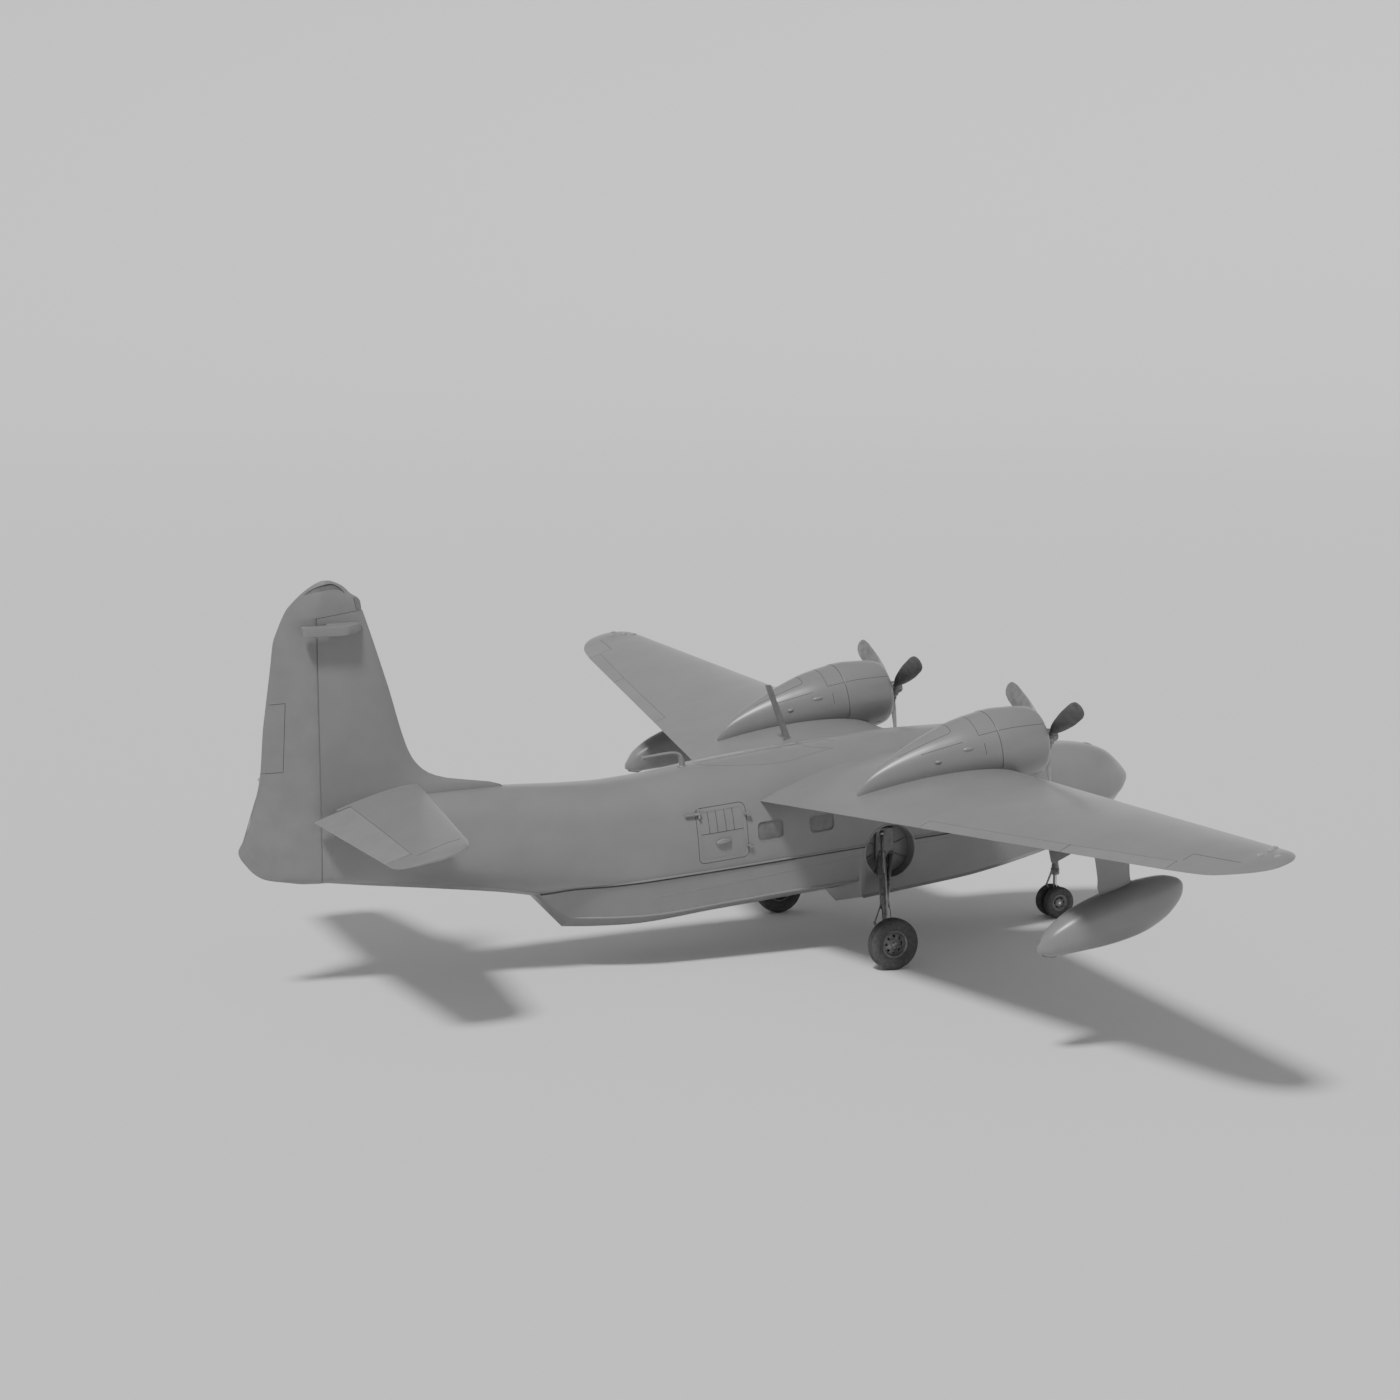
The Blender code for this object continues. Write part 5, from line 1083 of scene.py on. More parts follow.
def addPodSkins(side, word, place):
    rings = []
    for along in spread(nacelleFrom, nacelleTo, 56):
        lift, wide, rise, drop = nacelleRow(along)
        rings.append([place @ Vector((wide * cos(a), lift + (rise if sin(a) > 0.0 else drop) * sin(a), along))
                      for a in around(64)])
    nacelleShape = skin(rings)
    profile = smoothPath([(a, r, 0.0) for a, r in pod["cowlInner"] + pod["cowlOuter"]], 5)
    cowlShape = turned([(point.x, point.y) for point in profile], place, 72, looped=True)
    tree = treeOf(together([nacelleShape, cowlShape]))
    carve(addPiece("nacelle_skin_" + word, nacelleShape, "sprayedEnamel", nodes=("nacelle_" + word,)),
          [wingShapes[word]])
    slotA, slotLow, slotHigh = pod["slot"]
    middle = side * pod["out"]
    slot = box(at(port, middle - pod["slotHalf"], slotA, slotLow),
               at(port, middle + pod["slotHalf"], slotA + pod["slotLength"], slotHigh))
    carve(addPiece("cowl_skin_" + word, cowlShape, "sprayedEnamel", nodes=("cowl_" + word,)),
          [wingShapes[word], slot])
    # The pod's panel joints are drawn as dark lines of painted shade
    addPiece("pod_seams_" + word, podSeams(tree, place, podLines, seamProfile()), "paintedShade")
    # The rear edge of the cowl is rolled outwards a little
    edge = podSeams(tree, place, [[(1.258, -14.0), (1.258, 194.0)]], beadProfile(0.020, 0.004))
    addPiece("cowl_edge_" + word, edge, "sprayedEnamel")
    blisters = []
    for along, angle, long, wide, tall in pod["blisters"]:
        for turn in (angle, 180.0 - angle):
            spots, normals = podTrace(tree, place, [(along, turn), (along + 0.02, turn)])
            base = frameAt(spots[0], normals[0], place.to_3x3() @ upward)
            levels = (-0.02, 1.0), (0.3 * tall, 0.95), (0.7 * tall, 0.75), (0.93 * tall, 0.42), (tall, 0.12)
            blisters.append(skin([[base @ Vector((wide * share * cos(a), long * share * sin(a), lift))
                                   for a in around(20)] for lift, share in levels]))
    addPiece("pod_blisters_" + word, blisters, "sprayedEnamel")


def barrelProfile():
    barrel = engine["barrel"]
    profile = [(engine["foot"], barrel)]
    pitch = (engine["finTo"] - engine["finFrom"]) / engine["fins"]
    for fin in range(engine["fins"]):
        low = engine["finFrom"] + fin * pitch
        reach = engine["finRadius"] - (engine["shorter"] if fin < engine["shortFins"] else 0.0)
        profile += [(low, barrel), (low + pitch * 0.15, reach), (low + pitch * 0.45, reach),
                    (low + pitch * 0.60, barrel)]
    return profile + list(engine["head"])


def aroundCase(angle, spot, lean=1.0):
    radius, turn, along = spot
    return polar(radius, angle + lean * turn, along)


# Radial engine: finned barrels, rocker boxes, push rods, leads and a bolted nose case
def addEngine(word, place):
    cases = [turned(engine["case"], place, 48)]
    barrels = []
    leads = []
    aft = place.to_3x3() @ upward
    halfWide, halfDeep, corner = engine["rocker"]
    rockerOutline = rounded(((-halfWide, -halfDeep), (halfWide, -halfDeep), (halfWide, halfDeep),
                             (-halfWide, halfDeep)), corner, 4)
    across, over = engine["rockerPlace"]
    for index in range(engine["cylinders"]):
        angle = 2.0 * pi * index / engine["cylinders"] + pi / 2.0
        base = frameAt(place @ Vector((0.0, 0.0, engine["place"])), place.to_3x3() @ polar(1.0, angle), aft)
        barrels.append(turned(barrelProfile(), base, 24))
        for lean in (-1.0, 1.0):
            rocker = base @ Matrix.Translation((lean * across, over, 0.0))
            cases.append(skin([[rocker @ Vector((x * share, y * share, z)) for x, y in rockerOutline]
                               for z, share in engine["rockerRows"]]))
            barrels.append(rod(place @ aroundCase(angle, engine["pushRodFoot"], lean),
                               base @ Vector((lean * across, *engine["pushRodHead"])), 0.0095, 10))
        spark = [place @ aroundCase(angle, engine[key]) for key in ("leadFoot", "leadBend")]
        spark += [base @ Vector(spot) for spot in engine["leadPlug"]]
        leads.append(tube(smoothPath(spark, 4), 0.007, 8, (0.3, 0.2, 0.9)))
        bolt = place @ aroundCase(angle, engine["bolt"])
        cases.append(rod(bolt, bolt - aft * 0.016, 0.011, 6))
    ringRadius, ringAft, thick = engine["ring"]
    leads.append(skin([[place @ polar(ringRadius + thick * cos(a), b, ringAft + thick * sin(a)) for a in around(10)]
                       for b in around(48)], looped=True))
    cases.append(rod(place @ Vector((0.0, -0.19, 0.17)), place @ Vector((0.0, -0.31, 0.20)), 0.032, 16, 0.006))
    addPiece("engine_cases_" + word, cases, "castAluminium", nodes=("engine_" + word,))
    addPiece("engine_barrels_" + word, barrels, "platedSteel")
    addPiece("engine_leads_" + word, leads, "tinnedConduit")


def addPropeller(word, place):
    body = "propeller_" + word
    sectionAt = curveThrough(airscrew["sections"])
    rootRadius = airscrew["sections"][0][0]
    blades = []
    collars = []
    for index in range(airscrew["blades"]):
        spin = Matrix.Rotation(2.0 * pi * index / airscrew["blades"] - pi / 2.0, 4, "Z")
        rings = []
        for share in spread(0.0, 1.0, 40):
            radius = rootRadius + (airscrew["radius"] - rootRadius) * (1.0 - (1.0 - share) ** 1.6)
            chord, thickness, pitch = sectionAt(radius)
            turn = radians(pitch)
            # Further out the section has a thick leading edge and a flatter face
            flatFrom, flatOver = airscrew["flat"]
            flat = min(max((radius - flatFrom) / flatOver, 0.0), 1.0)
            ring = []
            for a in around(28):
                x = chord / 2.0 * cos(a)
                y = thickness / 2.0 * sin(a) * (1.0 - 0.28 * flat * cos(a))
                if sin(a) <= 0.0:
                    y *= 1.0 - 0.5 * flat
                ring.append(place @ (spin @ Vector((radius, x * cos(turn) - y * sin(turn),
                                                    airscrew["place"] + x * sin(turn) + y * cos(turn)))))
            rings.append(ring)
        blades.append(skin(rings))
        collarFrame = frameAt(place @ (spin @ Vector((0.0, 0.0, airscrew["place"]))),
                              place.to_3x3() @ (spin.to_3x3() @ outward(port)))
        collars.append(turned(airscrew["collar"], collarFrame, 32))
        collars += boltRing(collarFrame, *airscrew["collarBolts"])
    addPiece("propeller_blades_" + word, blades, "etchedDuralumin", body, (body,))
    addPiece("propeller_hub_" + word, [turned(airscrew["hub"], place, 48), *collars,
                                       *boltRing(place, *airscrew["hubBolts"])], "castAluminium", body)


for side, word in sides:
    place = frameAt(at(side, pod["out"], *pod["lip"]), (0.0, cos(pod["tilt"]), -sin(pod["tilt"])))
    addPodSkins(side, word, place)
    addEngine(word, place)
    addPropeller(word, place)
print("engine pods made")
# Tip floats on their struts
tipFloat = {
    "out": 9.64,
    # station, keel, widest and deck heights, half width
    "rows": ((4.66, 2.86, 2.92, 2.97, 0.05), (4.80, 2.60, 2.86, 3.09, 0.18), (5.10, 2.36, 2.78, 3.14, 0.29),
             (5.60, 2.14, 2.70, 3.09, 0.37), (6.20, 2.01, 2.58, 2.92, 0.38), (6.80, 1.94, 2.40, 2.70, 0.32),
             (7.30, 1.90, 2.18, 2.38, 0.20), (7.52, 1.96, 2.04, 2.09, 0.05)),
    # height, leading and trailing edge stations, half thickness
    "strutFoot": (2.50, 5.68, 6.25, 0.055), "strutHead": (4.30, 5.77, 6.56, 0.075),
    "flare": 0.020, "flareHeight": 3.02,
    "skeg": ((7.02, 1.93), (7.22, 1.86), (7.44, 1.90), (7.53, 2.02), (7.40, 2.12), (7.10, 2.10)),
    "skegHalf": 0.018,
}
floatNose, floatTail = tipFloat["rows"][0][0], tipFloat["rows"][-1][0]
floatRow = curveThrough(tipFloat["rows"], warp=lambda station: sqrt(max(station - floatNose, 0.0)))
for side, word in sides:
    middle = tipFloat["out"]
    rings = []
    for turn in spread(0.0, pi, 60):
        station = floatNose + (floatTail - floatNose) * (0.5 - 0.5 * cos(turn))
        keel, widest, deck, half = floatRow(station)
        ring = []
        for a in around(56):
            w = cos(a)
            if sin(a) >= 0.0:
                ring.append(at(side, middle + half * w, station, widest + (deck - widest) * sin(a) ** 0.88))
            else:
                ring.append(at(side, middle + half * copysign(abs(w) ** 0.62, w), station,
                               widest - (widest - keel) * abs(sin(a)) ** 0.95))
        rings.append(ring)
    addPiece("float_shell_" + word, skin(rings), "sprayedEnamel", nodes=("float_" + word,))
    skeg = skin([[at(side, middle + out, a, z) for a, z in tipFloat["skeg"]]
                 for out in (-tipFloat["skegHalf"], tipFloat["skegHalf"])])
    addPiece("float_skeg_" + word, skeg, "brushedEnamel")
    rings = []
    for share in spread(0.0, 1.0, 24):
        height, fore, aft, half = [a + (b - a) * share for a, b in zip(tipFloat["strutFoot"], tipFloat["strutHead"])]
        flare = tipFloat["flare"] * exp(-((height - tipFloat["flareHeight"]) / 0.10) ** 2)
        ring = []
        for a in around(40):
            along = 0.5 - 0.5 * cos(a)
            ridge = 1.0 + 0.10 * exp(-((along - 0.45) / 0.05) ** 2)
            thickness = half * sin(a) * (0.75 - 0.25 * along) * ridge + copysign(flare, sin(a))
            ring.append(at(side, middle + thickness, fore + (aft - fore) * along - flare * cos(a), height))
        rings.append(ring)
    strut = addPiece("float_strut_skin_" + word, skin(rings), "sprayedEnamel", nodes=("float_strut_" + word,))
    carve(strut, [wingShapes[word]])
    carve(strut, [box(at(port, side * middle - 1.0, 5.0, 4.16), at(port, side * middle + 1.0, 7.2, 5.0))])
print("floats made")

# Fin, rudder, tailplanes and elevators
tail = {
    # height, leading edge station, half thickness
    "fin": ((3.30, 13.60, 0.17), (3.77, 13.97, 0.17), (3.99, 15.16, 0.17), (4.15, 15.50, 0.165), (4.41, 15.73, 0.16),
            (4.73, 15.87, 0.155), (5.87, 16.20, 0.13), (7.25, 16.66, 0.10)),
    "axis": 17.62, "hornSlope": 0.13, "hornBase": 7.17,
    # how far the fin's lips reach past the rudder's nose: distance ahead of the axis, and clearance
    "lip": (0.045, 0.008),
    # height, trailing edge station
    "rudder": ((2.115, 17.80), (2.16, 18.15), (2.28, 18.68), (2.54, 18.99), (2.84, 19.15), (3.03, 19.06),
               (3.29, 18.945), (3.69, 18.83), (4.26, 18.70), (5.08, 18.63), (5.59, 18.56), (6.45, 18.44),
               (6.78, 18.40), (7.17, 18.27)),
    # height at the axis, leading and trailing edge stations, half thickness
    "horn": ((7.17, 16.68, 18.27, 0.101), (7.40, 16.705, 18.12, 0.092), (7.52, 16.775, 17.985, 0.086),
             (7.60, 16.875, 17.89, 0.080), (7.76, 17.045, 17.67, 0.060), (7.84, 17.20, 17.52, 0.040),
             (7.87, 17.30, 17.43, 0.020)),
    "cap": ((16.50, 7.10), (16.74, 7.15), (16.774, 7.284), (16.832, 7.511), (16.786, 7.534), (16.50, 7.62)),
    # upper and lower edge of the hollow near the top, each as station and height
    "hollow": ((17.79, 7.622, 17.79, 7.614), (17.70, 7.685, 17.70, 7.635), (17.60, 7.733, 17.60, 7.657),
               (17.50, 7.772, 17.50, 7.672), (17.39, 7.800, 17.39, 7.690), (17.28, 7.812, 17.285, 7.701),
               (17.20, 7.790, 17.19, 7.697), (17.12, 7.742, 17.11, 7.680), (17.05, 7.675, 17.05, 7.652),
               (17.01, 7.625, 17.015, 7.617)),
    "lugs": (3.2, 4.9, 6.5),
    "tab": ((18.50, 5.59), (18.20, 5.605), (18.273, 4.306), (18.68, 4.30)),
    "strip": ((18.58, 4.43), (18.74, 3.96), (18.94, 3.40), (19.05, 2.97), (18.90, 2.67), (18.56, 2.41)),
    # station, distance out of the outer face, half height
    "pad": ((16.72, 0.105, 0.080), (16.80, 0.185, 0.086), (16.90, 0.285, 0.090), (16.97, 0.348, 0.090),
            (17.01, 0.370, 0.090), (17.06, 0.386, 0.090), (17.12, 0.395, 0.090), (17.20, 0.400, 0.090),
            (17.34, 0.400, 0.090), (17.38, 0.400, 0.090), (17.42, 0.400, 0.090), (17.46, 0.400, 0.090),
            (17.60, 0.400, 0.090), (17.80, 0.400, 0.090), (17.90, 0.400, 0.090), (17.92, 0.388, 0.078)),
    "padHeight": 6.985,
    # height where a change begins, and over how much height it runs
    "topLean": (6.2, 1.05), "rootThin": (4.4, 0.7), "shear": (6.6, 0.57), "capShear": 0.45,
    "shroud": (17.34, 2.118, 3.34),
    # station where a pad's inner face leaves the fin, over what length, and how far
    "padClear": (17.34, 0.12, 0.06, 0.165), "padCorner": 0.016, "padDroop": 0.12,
    "tailplaneSeam": ((4.18, 16.17), (4.30, 16.62), (4.42, 17.06)),
}


# How far a value has come past a start, as a share of a length
def partWay(value, start, length):
    return min(max((value - start) / length, 0.0), 1.0)


def rudderHalf(height):
    if height < 2.70:
        return halfWidthAt(sternPost, height)
    return 0.17 - 0.07 * partWay(height, 3.6, 3.6)


# Closed ring from the (half width, station) points of one side
def bothSides(half, heightAt):
    return ([at(starboard, wide, station, heightAt(station)) for wide, station in half]
            + [at(port, wide, station, heightAt(station)) for wide, station in reversed(half)])


# Hollow of the fin's rear that the rudder's nose turns in, from the lip to the middle
def lipArc(nose, clear):
    radius = nose + clear
    return [(max(radius * sin(a), 0.004), tail["axis"] - radius * cos(a))
            for a in spread(acos(tail["lip"][0] / radius), 0.0, 8)]


finRow = curveThrough(tail["fin"])
finFoot, finTop = tail["fin"][0][0], tail["fin"][-1][0]
axis, lipClear = tail["axis"], tail["lip"][1]
lipStation = axis - tail["lip"][0]
rings = []
for base in spread(finFoot, finTop, 60):
    lead, half = finRow(base)
    nose = rudderHalf(min(base, tail["hornBase"]))
    half = max(half, nose + 0.010)
    share = partWay(base, *tail["topLean"])
    # Fuller towards the top, thin at the root where the fin runs forward along the roof
    thinFrom, thinOver = tail["rootThin"]
    power = 0.5 + 0.4 * partWay(-base, -thinFrom, thinOver)
    flank = []
    for turn in spread(0.0, pi / 2.0, 14):
        x = 1.0 - cos(turn)
        flank.append((max(half * min(1.0, 2.0 * x - x * x) ** power, 0.004), lead + (lipStation - lead) * x))
    rings.append(bothSides(flank + lipArc(nose, lipClear), lambda station: base + share * (
        tail["hornBase"] - 0.006 + tail["hornSlope"] * (axis - station) - finTop)))
addPiece("fin_skin", skin(rings), "sprayedEnamel", nodes=("fin",))
# The hull's tail is carried on to the rudder's nose in the same way
rings = []
shroudFrom, shroudFoot, shroudTop = tail["shroud"]
for height in spread(shroudFoot, shroudTop, 24):
    nose = rudderHalf(height)
    flank = [(0.004, shroudFrom), (max(halfWidthAt(shroudFrom, height) - 0.003, 0.03), shroudFrom),
             (nose + 0.010, lipStation)]
    rings.append(bothSides(flank + lipArc(nose, lipClear + 0.001), lambda station: height))
addPiece("tail_shroud", skin(rings), "sprayedEnamel")
lugs = []
for height in tail["lugs"]:
    front = axis - rudderHalf(height) - 0.09
    lugs.append(box(at(port, -0.035, front, height - 0.0285), at(port, 0.035, axis, height + 0.0285), 0.010))
    lugs.append(rod(at(port, 0.0, axis, height - 0.0295), at(port, 0.0, axis, height + 0.0295), 0.038, 24, 0.004))
addPiece("rudder_lugs", lugs, "platedSteel")


# Round nose ahead of the pivot, straight flanks behind it
def rudderSection(pivot, reach, trail, half, base, shear):
    flank = [(max(half * sin(a), 0.004), pivot - reach * cos(a)) for a in spread(0.0, pi / 2.0, 14)]
    flank += [(half - (half - 0.007) * tick / 8.0, pivot + (trail - pivot) * tick / 8.0) for tick in range(1, 9)]
    return bothSides(flank, lambda station: base + shear * (axis - station))


rudderFoot, hornBase = tail["rudder"][0][0], tail["hornBase"]
rudderTrail = curveThrough(tail["rudder"], warp=lambda height: sqrt(max(height - rudderFoot, 0.0)))
hornRow = curveThrough(tail["horn"], warp=lambda height: -sqrt(max(7.875 - height, 0.0)))
rings = []
for share in spread(0.0, 1.0, 80):
    height = rudderFoot + (hornBase - rudderFoot) * share ** 1.7
    shear = tail["hornSlope"] * partWay(height, *tail["shear"])
    nose = rudderHalf(height)
    rings.append(rudderSection(axis, nose, rudderTrail(height)[0], nose, height, shear))
capRings = []
for share in spread(0.0, 1.0, 32):
    height = 7.172 + 0.698 * (1.0 - (1.0 - share) ** 2)
    lead, trail, half = hornRow(height)
    pivot = min(axis, lead + 0.6 * (trail - lead))
    shear = tail["hornSlope"] * max(0.0, 1.0 - (height - hornBase) / tail["capShear"])
    rings.append(rudderSection(pivot, pivot - lead, trail, half, height, shear))
    capRings.append(rudderSection(pivot, pivot - lead + 0.004, trail, half + 0.004, height, shear))
rudderShape = skin(rings)
rudderTree = treeOf(rudderShape)
rudder = addPiece("rudder_skin", rudderShape, "dopedFabric", "rudder", ("rudder",))
notches = []
for height in tail["lugs"]:
    low, high = height - 0.031, height + 0.031
    notches.append(box(at(port, -0.4, axis - 0.4, low), at(port, 0.4, axis - 0.06, high)))
    notches.append(box(at(port, -0.09, axis - 0.1, low), at(port, 0.09, axis + 0.062, high)))
carve(rudder, notches, finish="dopedFabric")
# Hollows near the rudder's top; their walls take the dark acrylic finish as painted shade
hollows = []
for side, word in sides:
    rings = []
    for upperA, upperZ, lowerA, lowerZ in tail["hollow"]:
        high, low = [abs(rudderTree.ray_cast(at(side, 1.0, a, z), outward(-side))[0].x)
                     for a, z in ((upperA, upperZ), (lowerA, lowerZ))]
        rings.append([at(side, high * 0.5, upperA, upperZ), at(side, low * 0.98, lowerA, lowerZ),
                      at(side, 0.3, lowerA, lowerZ), at(side, 0.3, upperA, upperZ)])
    hollows.append(skin(rings))
carve(rudder, hollows, finish="smokedAcrylicAndPaintedShade")
cap = addPiece("horn_cap", skin(capRings), "brushedEnamel", "rudder")
carve(cap, [skin([[at(port, out, a, z) for a, z in tail["cap"]] for out in (-0.3, 0.3)])], "INTERSECT",
      "brushedEnamel")
for side, word in sides:
    inward = outward(-side)
    tabLine, stripLine, capLine = [[at(side, 0.3, a + shift, z) for a, z in line] for line, shift in (
        (tail["tab"], 0.0), (tail["strip"], 0.0), (tail["cap"][1:5], 0.008))]
    # The tab's joint is drawn as a dark line of painted shade
    addPiece("rudder_seams_" + word, seams(rudderTree, [tabLine], inward), "paintedShade", "rudder")
    addPiece("rudder_edge_strip_" + word,
             seams(rudderTree, [smoothPath(stripLine, 6)], inward, beadProfile(0.020, 0.004)), "dopedFabric", "rudder")
    # The horn's joint is drawn as a dark line of painted shade
    addPiece("horn_seams_" + word, seams(rudderTree, [capLine], inward, spacing=0.02), "paintedShade", "rudder")
    # Square-edged fairing on each side of the fin; its rear stands clear of the rudder's swing
    rings = []
    for station, outer, tall in tail["pad"]:
        clearFrom, clearOver, innerFrom, innerBy = tail["padClear"]
        clear = partWay(station, clearFrom, clearOver)
        inner = innerFrom + innerBy * clear * clear * (3.0 - 2.0 * clear)
        section = rounded(((inner, -tall), (outer, -tall), (outer, tall), (inner, tall)), tail["padCorner"], 4)
        rings.append([at(side, out, station, tail["padHeight"] + rise - tail["padDroop"] * (out - 0.1))
                      for out, rise in section])
    addPiece("fin_fairing_" + word, skin(rings), "sprayedEnamel", nodes=("fin_pad_" + word,))

    shape = surfaceShape(side, tailplane)
    rear = box(at(port, side * 0.17 - 0.17, 17.3, 2.9), at(port, side * 0.17 + 0.17, 18.2, 4.2))
    addSurface("tailplane", shape, side, word, tailplane, (("elevator", False, "dopedFabric"),), aft=[rear])
    tipSeam = [at(side, out, station, 3.5) for out, station in tail["tailplaneSeam"]]
    # The tip's joint is drawn as a dark line of painted shade
    addPiece("tailplane_seam_" + word, seams(treeOf(shape), [tipSeam], down), "paintedShade")
print("tail made")

# Wheels: grooved tyres on cast rims
wheels = {
    "mainTyre": (0.51, 0.155, 0.27), "noseTyre": (0.335, 0.095, 0.17),
    "grooves": (-0.40, -0.14, 0.14, 0.40), "grooveWidth": 0.075, "grooveDepth": 0.009,
    "track": 5.38, "mainStation": 6.80, "noseStation": 1.62, "noseOut": 0.165,
    "mainBore": 0.0508, "noseBore": 0.0328,
    # the rim's half width, its hub's and its bolts' place as shares of the wheel's and the rim's
    "rimShare": 0.62, "hubShare": 0.75, "boltShare": 0.72,
    "wall": ((-0.62, 0.0, 0.0), (-0.86, 0.22, 0.0), (-1.0, 0.52, 0.0), (-0.90, 0.80, 0.0), (-0.60, 0.965, 0.0)),
}


def hubHalf(halfWidth):
    return halfWidth * wheels["rimShare"] * wheels["hubShare"]


def tyreProfile(radius, halfWidth, rimRadius):
    height = radius - rimRadius
    wall = [(point.x, point.y) for point in smoothPath(wheels["wall"], 5)]
    half = wheels["grooveWidth"] / 2.0
    tread = []
    for centre in wheels["grooves"]:
        for x, deep in ((centre - half - 0.02, 0.0), (centre - half, 1.0), (centre + half, 1.0),
                        (centre + half + 0.02, 0.0)):
            tread.append((x, 1.0 - 0.035 * (x / 0.6) ** 2 - deep * wheels["grooveDepth"] / height))
    return [(halfWidth * x, rimRadius + height * y) for x, y in wall + tread + [(-x, y) for x, y in reversed(wall)]]


def rimProfile(halfWidth, rimRadius, bore):
    edge = halfWidth * wheels["rimShare"]
    half = [(edge, rimRadius - seatGap), (edge, rimRadius - 0.008), (edge - 0.006, rimRadius - 0.016),
            (edge - 0.012, rimRadius - 0.034), (edge * 0.45, rimRadius - 0.052), (edge * 0.30, rimRadius - 0.066),
            (edge * 0.42, rimRadius * 0.60), (edge * 0.66, bore + 0.050), (edge * 0.75, bore + 0.040),
            (edge * 0.75, bore)]
    return [(-x, r) for x, r in half] + list(reversed(half))


# Tyre, rim with round openings, bolts and a valve; the wheel turns on the named body
def addWheel(name, centre, side, sizes, bore, body, holes):
    _, halfWidth, rimRadius = sizes
    place = frameAt(centre, outward(side))
    addPiece("tyre_" + name, turned(tyreProfile(*sizes), place, 112, looped=True), "vulcanisedRubber", body,
             (name + "_tyre",))
    rim = addPiece("rim_" + name, turned(rimProfile(halfWidth, rimRadius, bore), place, 64, looped=True),
                   "castAluminium", body, (name + "_rim",))
    openingRadius = (rimRadius - 0.066 + bore + 0.050) / 2.0 + 0.006
    carve(rim, boltRing(place, holes, openingRadius, -0.3, 0.6, rimRadius * 0.115, 20, 0.0), finish="castAluminium")
    reach = halfWidth * wheels["rimShare"] * wheels["boltShare"]
    bolts = [bolt for end in (-1.0, 1.0)
             for bolt in boltRing(place, holes, bore + 0.030, reach * end, 0.010 * end, rimRadius * 0.030)]
    valve = Vector(((rimRadius - 0.045), 0.0, halfWidth * 0.30))
    bolts.append(rod(place @ valve, place @ (valve + Vector((-0.004, 0.0, 0.030))), 0.005, 10))
    addPiece("rim_bolts_" + name, bolts, "platedSteel", body)


# Main gear
mainGear = {
    "legFoot": (0.9603, 6.20, 1.90), "drag": (0.9603, 5.99, 1.93), "shock": (0.9603, 6.20, 2.34),
    "meeting": 0.79, "plate": (0.8903, 0.9803, 5.93, 6.33, 1.79, 2.45), "piston": 0.62, "collars": (0.10, 0.34),
    "inboard": 0.13, "axleSpare": 0.012,
    # ribs in the wheel well: angles, inner and outer end, radius
    "ribAngles": (20.0, 160.0, 205.0, 250.0, 290.0, 335.0), "rib": (0.24, 0.52, 0.016),
    "hubNut": ((0.0, 0.030), (0.003, 0.036), (0.014, 0.036), (0.018, 0.026), (0.019, 0.012)),
}


# Flat link between two points, with round ends
def linkShape(start, end, normal, width, thickness):
    along = (end - start).normalized()
    across = Vector(normal).cross(along).normalized()
    over = along.cross(across).normalized()
    length = (end - start).length
    outline = [(width * 0.5 * cos(a), width * 0.5 * sin(a)) for a in spread(pi / 2.0, 1.5 * pi, 10)]
    outline += [(length + width * 0.32 * cos(a), width * 0.32 * sin(a)) for a in spread(-pi / 2.0, pi / 2.0, 10)]
    return skin([[start + along * x + across * y + over * z for x, y in outline]
                 for z in (-thickness / 2.0, thickness / 2.0)])


def torqueLinks(top, middle, low, normal, width, thickness):
    return [linkShape(end, middle, normal, width, thickness) for end in (top, low)]


def pins(spots, across, radius, half, steps=14):
    return [rod(spot - across * half, spot + across * half, radius, steps, 0.003) for spot in spots]


def ballShape(centre, radius):
    return turned([(-radius * cos(a), max(radius * sin(a), 0.0004)) for a in spread(0.0, pi, 14)],
                  Matrix.Translation(centre), 20)


